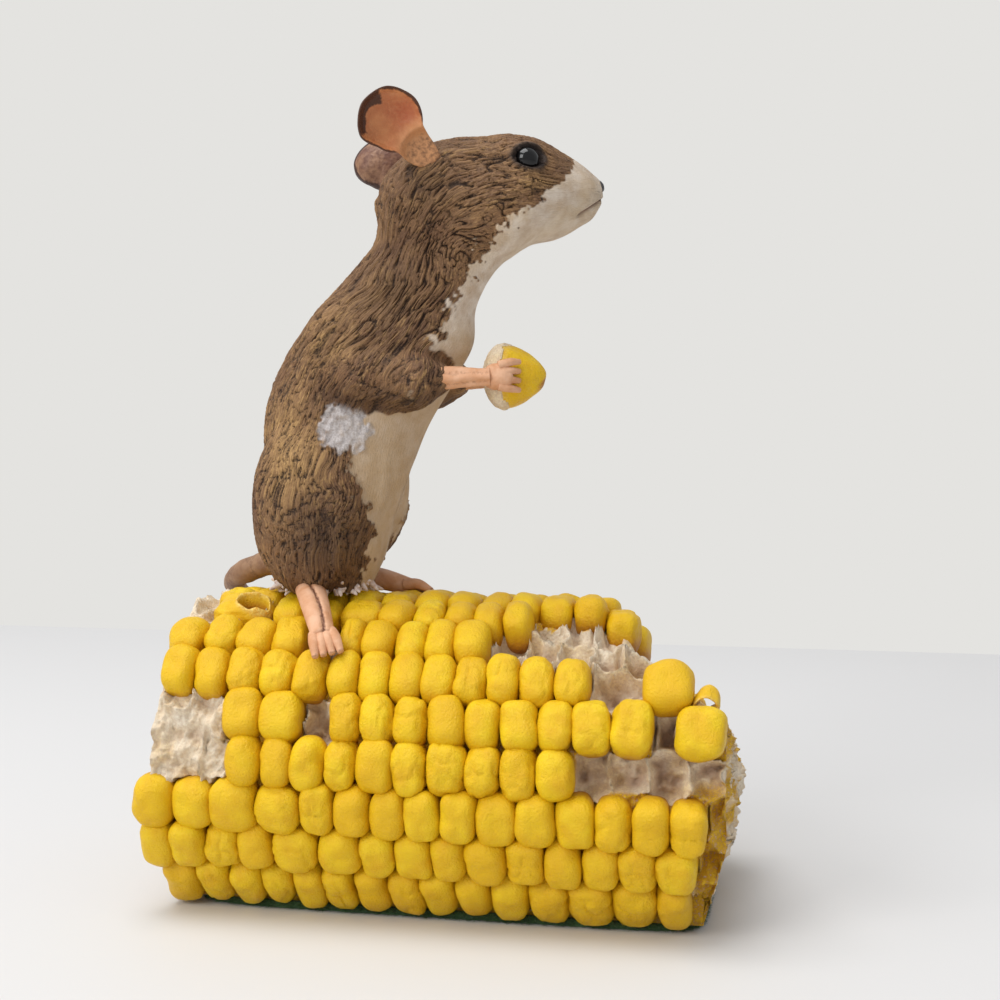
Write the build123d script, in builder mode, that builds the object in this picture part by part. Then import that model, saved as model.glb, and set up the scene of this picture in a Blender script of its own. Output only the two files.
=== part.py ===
from build123d import *
from math import cos, radians, sin, tan
import os

os.makedirs("parts", exist_ok=True)

# A mouse figurine: a mouse stands on a piece of corn cob that lies on its side, and holds one kernel.
# X runs along the cob, toward the end that the mouse faces. -Y is the side that shows the mouse's right.
# The origin is the middle of the felt pad's underside. All lengths are millimetres.

# Cob
cob_half_length = 38.0
cob_axis_height = 18.8
core_apothem = 18.0
kernel_depth = 5.5
rows_round = 22
row_count = 17
top_row = row_count // 2
row_step = 360 / rows_round
half_step = row_step / 2
kernel_pitch_share = 0.12763
kernel_pitch = cob_half_length * kernel_pitch_share
kernel_gap = 0.2
# A kernel seen from the side, from root to crown: height, and length or width of the faceted form
kernel_rise_shares = (0.45, 0.68, 0.88, 1)
kernel_length_shares = (1, 1, 0.86, 0.52)
root_length_share = 0.72
kernel_width_shares = (1, 1, 0.85, 0.52)
kernel_height_shares = (1.0, 0.96, 0.99, 0.94, 0.98)
pith_wall_height = 1.8
socket_rim = 0.45
socket_floor_share = 0.6

# The broken end slopes down toward the far side from this place on the top of the core.
break_start = 20.0
break_direction = Vector(0.8, 0.37, 1).normalized()
core_foot_half_length = 34.8
core_foot_half_width = 13.2
undercut_direction = Vector(1, 0, -0.28).normalized()

# Felt pad
felt_thickness = 1.0
felt_half_length = 34.8
felt_half_width = 14.6
felt_corner = 4.0

# Torn kernel that is left standing behind the mouse, hollowed by a bite
torn_kernel_row = top_row - 1
torn_kernel_along_share = -15 / 19
torn_kernel_length_share = 4.2 / 19
torn_kernel_along = cob_half_length * torn_kernel_along_share
torn_kernel_length = cob_half_length * torn_kernel_length_share
bite_radius = 2.5
bite_rise = 4.6
bite_shift = 1.6

# Scrap of skin that curls out of the broken end
skin_row = top_row - 3
skin_along_share = 18.1 / 19
skin_along = cob_half_length * skin_along_share
skin_radius = 1.6
skin_thickness = 0.5
skin_width = 3.2

# Body of the mouse
stance_x = -20.0
body_seat_gap = 0.2
body_base_height = cob_axis_height + core_apothem + kernel_depth + body_seat_gap
spine_rise = 49.8
body_depth = 20.0
body_width = 17.6
body_rise_shares = (0, 0.07, 0.19, 0.33, 0.47, 0.59, 0.69, 0.79, 0.895, 1)
body_back_shares = (-0.34, -0.40, -0.425, -0.435, -0.42, -0.365, -0.225, -0.02, 0.21, 0.45)
body_front_shares = (0.32, 0.405, 0.49, 0.61, 0.75, 0.93, 1.065, 1.09, 1.21, 1.32)
body_width_shares = (0.59, 0.80, 0.90, 0.93, 0.96, 0.97, 0.93, 0.84, 0.77, 0.62)
shoulder_half_depth = 6.8
shoulder_half_width = 5.0
shoulder_half_height = 8.2
shoulder_swell_advance_share = 0.27
shoulder_swell_side_share = 0.22
shoulder_swell_rise_share = 0.665

# Haunches, beside the body
haunch_half_depth = 8.2
haunch_half_width = 5.1
haunch_half_height = 12.0
haunch_sink = 0.8
haunch_side_share = 0.318
right_haunch_advance = -0.8
left_haunch_advance = 4.0
left_haunch_lift = 3.6

# Head, on axes of its own: forward to the nose, left, and up
head_root_advance_share = 0.725
head_root_rise_share = 1.054
head_turn = 19.0
head_tip_up = 10.6
head_length = 25.2
head_height = 18.0
head_width = 17.2
head_forward_shares = (-0.25, -0.19, -0.07, 0.09, 0.25, 0.41, 0.56, 0.71, 0.83, 0.93, 1)
head_rise_shares = (0.02, 0.03, 0.05, 0.06, 0.05, 0.04, 0.065, 0.033, -0.006, -0.047, -0.05)
head_height_shares = (0.30, 0.58, 0.82, 0.95, 1, 0.96, 0.87, 0.77, 0.58, 0.39, 0.17)
head_width_shares = (0.28, 0.56, 0.80, 0.93, 1, 0.99, 0.92, 0.74, 0.53, 0.35, 0.15)
eye_radius = 1.75
eye_forward_share = 0.579
eye_side_share = 0.343
eye_rise_share = 0.244
nose_half_length = 0.9
nose_half_width = 1.2
nose_half_height = 1.0

# Ears: a dish with its opening set forward of its shell
ear_half_depth = 2.6
ear_half_width = 4.8
ear_half_length = 6.9
ear_hollow_depth = 2.6
ear_hollow_width = 4.1
ear_hollow_length = 6.1
ear_hollow_shift = 1.6
ear_facing_share = 0.3
ear_splay_share = 0.45
ear_side_share = 0.43
right_ear_forward_share = -0.045
right_ear_rise_share = 0.589
right_ear_lean_share = 0.65
left_ear_forward_share = -0.055
left_ear_rise_share = 0.475
left_ear_lean_share = 1.6

# Arms, from the shoulder to the cuff of fur, and on to the paw
shoulder_advance_share = 0.175
shoulder_side_share = 0.375
shoulder_rise_share = 0.600
cuff_advance_share = 0.88
cuff_side_share = 0.307
cuff_rise_share = 0.596
paw_advance_share = 1.33
paw_rise_share = 0.598
paw_grip = 0.3
upper_arm_radius = 4.5
upper_arm_radius_shares = (0.75, 1, 0.92, 0.56)
upper_arm_station_shares = (0, 0.25, 0.6, 1)
forearm_radius = 1.9
forearm_radius_shares = (1, 0.92, 0.80)
forearm_station_shares = (0, 0.5, 1)
forearm_overlap = 1.5
paw_half_length = 2.2
paw_half_width = 1.3
paw_half_height = 1.9

# Kernel in the paws: a pale root and a yellow cap
held_advance_share = 1.16
held_rise_share = 0.604
held_root_length = 2.6
held_cap_length = 6.2
held_root_radius = 3.0
held_rim_radius = 4.6
held_shoulder_radius = 3.6
held_tip_radius = 1.2

# Rows on each side of the top one that the mouse stands on
trodden_reach = 3

# Hind feet, from heel to toes. Their places round the cob are in row steps from its top.
foot_half_width = 2.3
foot_half_thickness = 1.4
right_heel_rows = -0.7
right_heel_advance = -1.0
right_toes_rows = -2.4
right_toes_advance = 4.4
left_heel_rows = 0.9
left_heel_advance = 0
left_toes_rows = 1.1
left_toes_advance = 10.4
toe_count = 4
toe_spread = 1.15
toe_length = 3.6
toe_radius = 0.8
toe_tip_radius = 0.45

# Tail: out of the rump, then along the far side over the kernels
tail_root_setback_share = 0.30
tail_root_side_share = 0.25
tail_root_rise_share = 0.074
tail_bend_setback_share = 0.58
tail_bend_side_share = 0.34
tail_bend_rise_share = 0.050
tail_row_shares = (1.15, 2.0, 3.0, 3.9, 4.3, 4.2, 3.8)
tail_along_shares = (-0.96, -1.01, -0.95, -0.78, -0.54, -0.30, -0.08)
tail_radius = 2.0
tail_radius_shares = (1, 0.95, 0.85, 0.78, 0.70, 0.58, 0.47, 0.36, 0.24)
tail_clearance = 0.35

# Armature wires
wire_radius = 0.6
spine_wire_back_shares = (0, 0.03, 0.55, 0.90)
spine_wire_rise_shares = (0.07, 0.43, 0.79, 1.06)
spine_wire_bend = 6.0
leg_wire_depth = 16.5
leg_wire_rise = 11.5

# Cob rows, from the lowest on the near side over the top to the lowest on the far side.
# A row is the start of its first cell, in pitches from the middle, then the length of each cell in pitches.
# A negative length is an empty socket.
row_start_shares = (
    -7.80, -8.25, -8.28, -7.80, -7.85, -7.75, -7.95, -5.24, -7.30,
    -7.20, -7.60, -7.90, -7.75, -8.10, -7.85, -8.15, -7.80,
)
row_cell_shares = (
    (1.01, 0.92, 0.91, 0.90, 0.89, 0.89, 0.96, 0.93, 0.95, 0.97, 1.01, 1.11, 1.18, 1.17, 0.90),
    (0.94, 0.93, 1.01, 0.98, 1.28, 1.20, 0.94, 1.02, 0.93, 1.08, 1.05, 0.98, 1.00, 0.99, 1.06),
    (1.08, 1.15, 1.26, 1.27, 0.92, 1.02, 0.99, 0.95, 0.97, 1.07, 1.03, 1.02, 1.01, 0.98, 0.94),
    (-1.08, -1.09, 0.99, 0.86, 0.92, 0.91, 0.99, 0.95, 1.05, 0.94, 0.93, 0.99, -1.00, -1.00, -0.98, -0.80),
    (-1.03, -1.03, 1.06, 1.13, -0.80, 0.86, 0.92, 0.94, 1.01, 0.95, 1.02, 0.93, 1.00, 1.09, -0.62, 1.30),
    (0.89, 0.94, 0.96, 0.98, 0.94, 0.88, 0.84, 0.95, 0.91, 0.86, 0.90, 0.94, 0.95, -0.72, -0.72, 1.32),
    (1.05, 0.99, 1.00, 0.97, -1.02, 0.64, 0.92, 0.86, 0.85, 0.95, -1.02, -1.00, -0.98, -1.02),
    (0.98, 1.00, 1.15, 0.98, 0.88, 0.90, 0.84, 0.78, -1.00, -1.02, -1.00),
    (1.02, 0.96, 0.98, 1.02, 0.94, 0.98, 1.00, 0.96, 0.94, 0.86, 0.92, 0.96, 0.90),
    (0.98, 1.02, 0.96, 0.94, 1.02, 1.00, 0.94, 0.98, 0.92, 0.95, 0.98, 0.96, 0.92),
    (1.02, 0.98, 0.94, 1.02, 0.96, 1.00, 0.98, 0.92, 0.96, 1.00, 0.94, 0.98),
    (0.96, 1.00, 1.04, 0.96, 0.98, 0.94, 1.02, 1.00, 0.96, 0.94, 0.98, 1.02, 0.96),
    (1.00, 1.04, 0.98, 0.96, 1.02, 0.94, 0.96, 1.00, 1.02, 0.96, 0.94, 1.00, 0.98, 0.96),
    (1.02, 0.96, 1.00, 1.06, 0.98, 0.94, 1.00, 0.96, 1.04, 1.00, 0.98, 0.96, 1.02, 1.00, 0.94),
    (0.98, 1.02, 1.04, 0.94, 0.98, 1.00, 1.02, 0.96, 1.00, 0.98, 1.06, 0.94, 0.98, 1.02, 0.98),
    (1.06, 1.00, 0.96, 1.02, 0.98, 1.04, 0.96, 0.94, 1.00, 1.02, 0.98, 1.00, 1.04, 0.96, 1.00),
    (0.98, 0.94, 1.00, 1.02, 0.96, 0.98, 1.04, 1.00, 0.94, 0.98, 1.02, 0.96, 1.00, 1.02, 0.94),
)


def row_angle(row):
    return radians((row - top_row) * row_step)


def row_outward(row):
    return Vector(0, sin(row_angle(row)), cos(row_angle(row)))


def facet_point(row, along, rise=0):
    return Vector(along, 0, cob_axis_height) + row_outward(row) * (core_apothem + rise)


def facet_plane(row, along, rise=0):
    return Plane(origin=facet_point(row, along, rise), x_dir=(1, 0, 0), z_dir=row_outward(row))


def wedge_width(rise):
    """The width that a row has at a height above its facet."""
    return 2 * (core_apothem + rise) * tan(radians(half_step))


break_top = Vector(break_start, 0, cob_axis_height + core_apothem)


def break_sink(row, along):
    """How far below the whole core's facet the broken end lies, at a place along a row."""
    proud = (facet_point(row, along) - break_top).dot(break_direction)
    return proud / row_outward(row).dot(break_direction) if proud > 0 else 0


def row_cells(row):
    """The middle, length and filling of each cell in a row."""
    start = row_start_shares[row] * kernel_pitch
    cells = []
    for share in row_cell_shares[row]:
        length = abs(share) * kernel_pitch
        cells.append((start + length / 2, length, share > 0))
        start += length
    return cells


# Core: a prism of pith with a flat facet for each row, a flat foot and a broken end
with BuildPart() as bare_core:
    with BuildSketch(Plane.YZ.offset(-cob_half_length)):
        corner_radius = core_apothem / cos(radians(half_step))
        corner_angles = [row_angle(row - 1 / 2) for row in range(row_count + 1)]
        rim = [(corner_radius * sin(a), cob_axis_height + corner_radius * cos(a)) for a in corner_angles]
        foot = [(core_foot_half_width, felt_thickness), (-core_foot_half_width, felt_thickness)]
        Polygon(*rim, *foot, align=None)
    extrude(amount=2 * cob_half_length)
    split(bisect_by=Plane(origin=break_top, z_dir=break_direction), keep=Keep.BOTTOM)
    undercut_foot = Vector(core_foot_half_length, 0, felt_thickness)
    split(bisect_by=Plane(origin=undercut_foot, z_dir=undercut_direction), keep=Keep.BOTTOM)


def has_socket(row, along, length, filled):
    """Whether an empty cell lies whole on the core, clear of the broken end."""
    reach = abs(along) + length / 2
    return not filled and reach < cob_half_length and break_sink(row, along + length / 2) == 0


empty_sockets = [
    (row, along, length)
    for row in range(row_count)
    for along, length, filled in row_cells(row)
    if has_socket(row, along, length, filled)
]

# Low walls of torn pith round each empty socket
with BuildPart() as socket_walls:
    for row, along, length in empty_sockets:
        with BuildSketch(facet_plane(row, along)):
            Rectangle(length, wedge_width(0))
        with BuildSketch(facet_plane(row, along, pith_wall_height)):
            Rectangle(length, wedge_width(pith_wall_height))
        loft(ruled=True)
    for row, along, length in empty_sockets:
        rim_length, rim_width = length - 2 * socket_rim, wedge_width(pith_wall_height) - 2 * socket_rim
        with BuildSketch(facet_plane(row, along, pith_wall_height)):
            Rectangle(rim_length, rim_width)
        with BuildSketch(facet_plane(row, along)):
            Rectangle(rim_length * socket_floor_share, rim_width * socket_floor_share)
        loft(ruled=True, mode=Mode.SUBTRACT)


def kernel_profile(along, length, height, base):
    """The outline of one kernel from the side, from a depth below its facet up to its crown."""
    half = (length - kernel_gap) / 2
    root_half = half * root_length_share
    left = [(along - root_half, base)]
    right = [(along + root_half, base)]
    for rise_share, length_share in zip(kernel_rise_shares, kernel_length_shares):
        left.append((along - half * length_share, base + rise_share * height))
        right.append((along + half * length_share, base + rise_share * height))
    return left + right[::-1]


def build_kernels(row, cells):
    """Kernels in one row, each a solid of its own. On the broken end they sit deeper."""
    deepest = max(break_sink(row, along) for along, length, height in cells)
    section_half = wedge_width(-deepest) / 2 - kernel_gap / 2
    near, far = [(-section_half, -deepest)], [(section_half, -deepest)]
    for rise_share, width_share in zip(kernel_rise_shares, kernel_width_shares):
        half = (wedge_width(rise_share * kernel_depth) - kernel_gap) / 2 * width_share
        near.append((-half, rise_share * kernel_depth))
        far.append((half, rise_share * kernel_depth))
    outward = row_outward(row)
    across = outward.cross(Vector(1, 0, 0))
    with BuildPart() as kernels:
        with BuildSketch(Plane(origin=facet_point(row, 0), x_dir=across, z_dir=(1, 0, 0))):
            Polygon(*near, *far[::-1], align=None)
        extrude(amount=2 * cob_half_length, both=True)
        with BuildSketch(Plane(origin=facet_point(row, 0), x_dir=(1, 0, 0), z_dir=across * -1)):
            for along, length, height in cells:
                Polygon(*kernel_profile(along, length, height, -break_sink(row, along)), align=None)
        extrude(amount=wedge_width(kernel_depth), both=True, mode=Mode.INTERSECT)
        if deepest > 0:
            add(bare_core.part, mode=Mode.SUBTRACT)
    return kernels.part


def build_row(row):
    cells = []
    for number, (along, length, filled) in enumerate(row_cells(row)):
        height_share = kernel_height_shares[(number + row) % len(kernel_height_shares)]
        if filled:
            cells.append((along, length, kernel_depth * height_share))
    return build_kernels(row, cells)


kernel_rows = [build_row(row) for row in range(row_count)]


def swelling(centre, half_sizes, x_dir=(1, 0, 0), z_dir=(0, 0, 1)):
    """An egg-shaped mass with its own half sizes along its three axes."""
    with BuildPart() as mass:
        Sphere(1)
        scale(by=half_sizes)
    return Plane(origin=centre, x_dir=x_dir, z_dir=z_dir) * mass.part


def limb(start, end, stations, radii):
    """A round limb between two points, drawn through a circle at each station."""
    way = end - start
    with BuildPart() as mass:
        for station, radius in zip(stations, radii):
            with BuildSketch(Plane(origin=start + way * station, z_dir=way)):
                Circle(radius)
        loft()
    return mass.part


def carve(mass, *neighbours):
    """A mass as it lies against its neighbours, face to face."""
    with BuildPart() as carved:
        add(mass)
        for neighbour in neighbours:
            add(neighbour, mode=Mode.SUBTRACT)
    return carved.part


def cob_point(rows, along, rise):
    """A point over the crowns of the kernels, in row steps from the top of the cob."""
    return facet_point(top_row + rows, along, kernel_depth + rise)


def body_point(advance_share, side_share, rise_share):
    """A point about the mouse, in shares of its body's depth, width and height."""
    return Vector(
        stance_x + advance_share * body_depth,
        side_share * body_width,
        body_base_height + rise_share * spine_rise,
    )


# Armature
with BuildPart() as spine_wire:
    with BuildLine(Plane.XZ) as spine_line:
        wire_points = []
        for back_share, rise_share in zip(spine_wire_back_shares, spine_wire_rise_shares):
            wire_point = body_point(back_share, 0, rise_share)
            wire_points.append((wire_point.X, wire_point.Z))
        FilletPolyline(*wire_points, radius=spine_wire_bend)
    with BuildSketch(Plane(origin=spine_line.line @ 0, z_dir=spine_line.line % 0)):
        Circle(wire_radius)
    sweep()


def build_leg_wire(side):
    with BuildPart() as leg_wire:
        with BuildSketch(Plane(body_point(0, side * haunch_side_share, 0))):
            Circle(wire_radius)
        extrude(amount=leg_wire_rise)
        with BuildSketch(Plane(body_point(0, side * haunch_side_share, 0))):
            Circle(wire_radius)
        extrude(amount=-leg_wire_depth)
    return leg_wire.part


right_leg_wire = build_leg_wire(-1)
left_leg_wire = build_leg_wire(1)

# The core, and the kernels that the leg wires pass through
with BuildPart() as cob_core:
    add(bare_core.part)
    add(socket_walls.part)
    add(right_leg_wire, mode=Mode.SUBTRACT)
    add(left_leg_wire, mode=Mode.SUBTRACT)
trodden_rows = range(top_row - trodden_reach, top_row + trodden_reach + 1)
for row in trodden_rows:
    kernel_rows[row] = carve(kernel_rows[row], right_leg_wire, left_leg_wire)
trodden_kernels = [
    solid
    for row in trodden_rows
    for solid in kernel_rows[row].solids()
    if abs(solid.center().X - stance_x) < body_depth
]

# Torn kernel
with BuildPart() as torn_kernel:
    add(build_kernels(torn_kernel_row, [(torn_kernel_along, torn_kernel_length, kernel_depth)]))
    bite = facet_plane(torn_kernel_row, torn_kernel_along, bite_rise)
    with Locations(bite):
        with Locations((0, -bite_shift, 0)):
            Sphere(bite_radius, mode=Mode.SUBTRACT)

# Scrap of skin
with BuildPart() as kernel_skin:
    skin_place = facet_point(skin_row, skin_along, skin_radius)
    skin_across = row_outward(skin_row).cross(Vector(1, 0, 0))
    with BuildSketch(Plane(origin=skin_place, x_dir=(1, 0, 0), z_dir=skin_across)):
        Circle(skin_radius)
        Circle(skin_radius - skin_thickness, mode=Mode.SUBTRACT)
    extrude(amount=skin_width / 2, both=True)

# Head
turn = radians(head_turn)
tip_up = radians(head_tip_up)
head_forward = Vector(cos(tip_up) * cos(turn), cos(tip_up) * sin(turn), sin(tip_up))
head_left = Vector(-sin(turn), cos(turn), 0)
head_up = head_forward.cross(head_left)


head_root = body_point(head_root_advance_share, 0, head_root_rise_share)


def head_point(forward_share, left_share, up_share):
    """A point about the head, in shares of its length, width and height."""
    forward = head_forward * (forward_share * head_length)
    left = head_left * (left_share * head_width)
    up = head_up * (up_share * head_height)
    return head_root + forward + left + up


with BuildPart() as head_mass:
    sections = zip(head_forward_shares, head_rise_shares, head_height_shares, head_width_shares)
    for forward_share, rise_share, height_share, width_share in sections:
        middle = head_point(forward_share, 0, rise_share)
        with BuildSketch(Plane(origin=middle, x_dir=head_left, z_dir=head_forward)):
            Ellipse(head_width / 2 * width_share, head_height / 2 * height_share)
    loft()

eye_half_sizes = (eye_radius, eye_radius, eye_radius)
right_eye = swelling(head_point(eye_forward_share, -eye_side_share, eye_rise_share), eye_half_sizes)
left_eye = swelling(head_point(eye_forward_share, eye_side_share, eye_rise_share), eye_half_sizes)
nose_place = head_point(1, 0, head_rise_shares[-1]) + head_up * nose_half_height / 2
nose_half_sizes = (nose_half_length, nose_half_width, nose_half_height)
nose_tip = swelling(nose_place, nose_half_sizes, head_forward, head_up)
head = carve(head_mass.part, right_eye, left_eye, nose_tip, spine_wire.part)


def build_ear(side, forward_share, rise_share, lean_share):
    """One ear: a dish that opens outward and forward, leans back and stands out from the head."""
    axis = (head_up - head_forward * lean_share + head_left * side * ear_splay_share).normalized()
    across = axis.cross(head_left * side + head_forward * ear_facing_share).normalized()
    facing = across.cross(axis)
    middle = head_point(forward_share, side * ear_side_share, rise_share)
    shell = swelling(middle, (ear_half_depth, ear_half_width, ear_half_length), facing, axis)
    hollow = swelling(
        middle + facing * ear_hollow_shift,
        (ear_hollow_depth, ear_hollow_width, ear_hollow_length),
        facing,
        axis,
    )
    return carve(shell, hollow, head_mass.part)


right_ear = build_ear(-1, right_ear_forward_share, right_ear_rise_share, right_ear_lean_share)
left_ear = build_ear(1, left_ear_forward_share, left_ear_rise_share, left_ear_lean_share)

# Torso
with BuildPart() as torso_mass:
    sections = zip(body_rise_shares, body_back_shares, body_front_shares, body_width_shares)
    for rise_share, back_share, front_share, width_share in sections:
        half_depth = body_depth * (front_share - back_share) / 2
        middle_x = stance_x + body_depth * (front_share + back_share) / 2
        with BuildSketch(Plane.XY.offset(body_base_height + spine_rise * rise_share)):
            with Locations((middle_x, 0)):
                Ellipse(half_depth, body_width / 2 * width_share)
    loft()
    for side in (-1, 1):
        shoulder_middle = body_point(
            shoulder_swell_advance_share, side * shoulder_swell_side_share, shoulder_swell_rise_share
        )
        add(swelling(shoulder_middle, (shoulder_half_depth, shoulder_half_width, shoulder_half_height)))
torso = carve(
    torso_mass.part, head_mass.part, spine_wire.part, right_leg_wire, left_leg_wire, trodden_kernels
)


def build_haunch(side, advance, lift, leg_wire):
    rise = haunch_half_height - haunch_sink + lift
    middle = body_point(0, side * haunch_side_share, 0) + Vector(advance, 0, rise)
    mass = swelling(middle, (haunch_half_depth, haunch_half_width, haunch_half_height))
    return carve(mass, torso_mass.part, trodden_kernels, leg_wire)


right_haunch = build_haunch(-1, right_haunch_advance, 0, right_leg_wire)
left_haunch = build_haunch(1, left_haunch_advance, left_haunch_lift, left_leg_wire)

# Kernel in the paws
held_middle = body_point(held_advance_share, 0, held_rise_share)
with BuildPart() as held_kernel_root:
    for advance, radius in ((0, held_root_radius), (held_root_length, held_rim_radius)):
        with BuildSketch(Plane(origin=held_middle + Vector(advance, 0, 0), z_dir=(1, 0, 0))):
            Circle(radius)
    loft()
with BuildPart() as held_kernel_cap:
    cap_radii = (held_rim_radius, held_shoulder_radius, held_tip_radius)
    for number, radius in enumerate(cap_radii):
        advance = held_root_length + held_cap_length * number / (len(cap_radii) - 1)
        with BuildSketch(Plane(origin=held_middle + Vector(advance, 0, 0), z_dir=(1, 0, 0))):
            Circle(radius)
    loft()


def build_arm(side):
    """The furred upper arm, and the bare forearm with its paw."""
    arm_start = body_point(shoulder_advance_share, side * shoulder_side_share, shoulder_rise_share)
    arm_end = body_point(cuff_advance_share, side * cuff_side_share, cuff_rise_share)
    paw_side = side * (held_rim_radius + paw_grip)
    paw_middle = body_point(paw_advance_share, 0, paw_rise_share) + Vector(0, paw_side, 0)
    radii = [upper_arm_radius * share for share in upper_arm_radius_shares]
    upper_mass = limb(arm_start, arm_end, upper_arm_station_shares, radii)
    upper = carve(upper_mass, torso_mass.part)
    lead = (paw_middle - arm_end).normalized() * forearm_overlap
    radii = [forearm_radius * share for share in forearm_radius_shares]
    with BuildPart() as fore:
        add(limb(arm_end - lead, paw_middle, forearm_station_shares, radii))
        add(swelling(paw_middle, (paw_half_length, paw_half_width, paw_half_height)))
    lower = carve(fore.part, upper_mass, torso_mass.part, held_kernel_root.part, held_kernel_cap.part)
    return upper, lower


right_upper_arm, right_forearm = build_arm(-1)
left_upper_arm, left_forearm = build_arm(1)


def build_foot(heel_rows, heel_advance, toes_rows, toes_advance, haunch, leg_wire):
    """A foot over the kernels, with its toes spread past its end."""
    start = cob_point(heel_rows, stance_x + heel_advance, foot_half_thickness)
    end = cob_point(toes_rows, stance_x + toes_advance, foot_half_thickness)
    way = (end - start).normalized()
    across = way.cross(row_outward(top_row + (heel_rows + toes_rows) / 2)).normalized()
    half_sizes = ((end - start).length / 2, foot_half_width, foot_half_thickness)
    with BuildPart() as foot:
        add(swelling((start + end) / 2, half_sizes, way, across.cross(way)))
        for toe in range(toe_count):
            place = toe - (toe_count - 1) / 2
            toe_start = end - way * toe_length / 2 + across * place * toe_spread / 2
            toe_end = end + way * toe_length / 2 + across * place * toe_spread
            add(limb(toe_start, toe_end, (0, 1), (toe_radius, toe_tip_radius)))
    return carve(foot.part, torso_mass.part, haunch, trodden_kernels, leg_wire)


right_hind_foot = build_foot(
    right_heel_rows, right_heel_advance, right_toes_rows, right_toes_advance, right_haunch, right_leg_wire
)
left_hind_foot = build_foot(
    left_heel_rows, left_heel_advance, left_toes_rows, left_toes_advance, left_haunch, left_leg_wire
)

# Tail
tail_radii = [tail_radius * share for share in tail_radius_shares]
tail_line = [
    body_point(-tail_root_setback_share, tail_root_side_share, tail_root_rise_share),
    body_point(-tail_bend_setback_share, tail_bend_side_share, tail_bend_rise_share),
]
for rows, along_share, radius in zip(tail_row_shares, tail_along_shares, tail_radii[2:]):
    tail_line.append(cob_point(rows, along_share * cob_half_length, radius + tail_clearance))
with BuildPart() as tail_mass:
    for number, (point, radius) in enumerate(zip(tail_line, tail_radii)):
        before = tail_line[max(number - 1, 0)]
        after = tail_line[min(number + 1, len(tail_line) - 1)]
        with BuildSketch(Plane(origin=point, z_dir=after - before)):
            Circle(radius)
    loft()
tail = carve(tail_mass.part, torso_mass.part, left_haunch)

# Felt pad
with BuildPart() as felt_pad:
    with BuildSketch(Plane.XY):
        RectangleRounded(2 * felt_half_length, 2 * felt_half_width, felt_corner)
    extrude(amount=felt_thickness)

pieces = {
    "felt_pad": felt_pad.part,
    "cob_core": cob_core.part,
    "torn_kernel": torn_kernel.part,
    "kernel_skin": kernel_skin.part,
    "torso": torso,
    "head": head,
    "right_ear": right_ear,
    "left_ear": left_ear,
    "right_eye": right_eye,
    "left_eye": left_eye,
    "nose_tip": nose_tip,
    "right_haunch": right_haunch,
    "left_haunch": left_haunch,
    "right_upper_arm": right_upper_arm,
    "left_upper_arm": left_upper_arm,
    "right_forearm": right_forearm,
    "left_forearm": left_forearm,
    "right_hind_foot": right_hind_foot,
    "left_hind_foot": left_hind_foot,
    "held_kernel_root": held_kernel_root.part,
    "held_kernel_cap": held_kernel_cap.part,
    "tail": tail,
    "spine_wire": spine_wire.part,
    "right_leg_wire": right_leg_wire,
    "left_leg_wire": left_leg_wire,
}
for number, part in enumerate(kernel_rows):
    pieces[f"kernel_row_{number + 1:02d}"] = part
for name, part in pieces.items():
    part.label = name
    export_step(part, f"parts/{name}.step")
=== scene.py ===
from math import cos, pi, radians, sin, sqrt

import bpy
import numpy as np
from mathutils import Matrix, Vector


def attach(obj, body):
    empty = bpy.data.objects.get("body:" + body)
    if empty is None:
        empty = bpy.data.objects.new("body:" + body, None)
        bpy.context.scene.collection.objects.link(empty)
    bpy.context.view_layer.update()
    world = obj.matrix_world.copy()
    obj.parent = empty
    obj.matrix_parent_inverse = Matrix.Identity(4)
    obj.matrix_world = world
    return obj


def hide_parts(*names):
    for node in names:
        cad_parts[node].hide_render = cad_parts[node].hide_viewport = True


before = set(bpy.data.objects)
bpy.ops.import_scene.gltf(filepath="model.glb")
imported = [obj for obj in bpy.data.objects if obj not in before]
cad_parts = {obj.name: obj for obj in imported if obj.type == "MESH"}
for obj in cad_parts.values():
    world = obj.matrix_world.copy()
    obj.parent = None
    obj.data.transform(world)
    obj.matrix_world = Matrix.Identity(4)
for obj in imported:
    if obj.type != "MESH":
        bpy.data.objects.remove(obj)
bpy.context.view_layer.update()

# All lengths in this file are millimetres until a mesh is made.
MILLIMETRE = 0.001

# Cob, as the frame has it
AXIS_HEIGHT = 18.8
CORE_RADIUS = 18.0
CROWN_RADIUS = 23.5
HALF_LENGTH = 38.0
FELT_HEIGHT = 1.0
ROW_COUNT = 17
TOP_ROW = 8
ROW_STEP = 2 * pi / 22
KERNEL_PITCH = 4.85


# Noise and other numbers


def lattice(cell, seed):
    """A repeatable number from -1 to 1 for each corner of a lattice."""
    mixed = cell[:, 0] * 73856093 ^ cell[:, 1] * 19349663 ^ cell[:, 2] * 83492791 ^ (seed + 1) * 2654435761
    mixed &= 0xFFFFFFFF
    mixed = (mixed ^ mixed >> 13) * 1274126177 & 0xFFFFFFFF
    mixed = (mixed ^ mixed >> 16) * 2246822519 & 0xFFFFFFFF
    mixed ^= mixed >> 15
    return (mixed & 0xFFFFF) / 0x7FFFF - 1


def noise(points, size, seed):
    """Smooth noise from -1 to 1, whose lumps are about size across. size may differ along the axes."""
    place = np.asarray(points, float) / size
    cell = np.floor(place).astype(np.int64)
    part = place - cell
    part = part * part * part * (part * (part * 6 - 15) + 10)
    total = np.zeros(len(place))
    for corner in range(8):
        step = np.array((corner & 1, corner >> 1 & 1, corner >> 2 & 1))
        weight = np.prod(np.where(step, part, 1 - part), axis=1)
        total += weight * lattice(cell + step, seed)
    return total


def fractal(points, size, octaves, seed):
    total = np.zeros(len(points))
    for octave in range(octaves):
        total += noise(points, np.asarray(size) / 2.03**octave, seed + 31 * octave) / 2**octave
    return total


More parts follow.
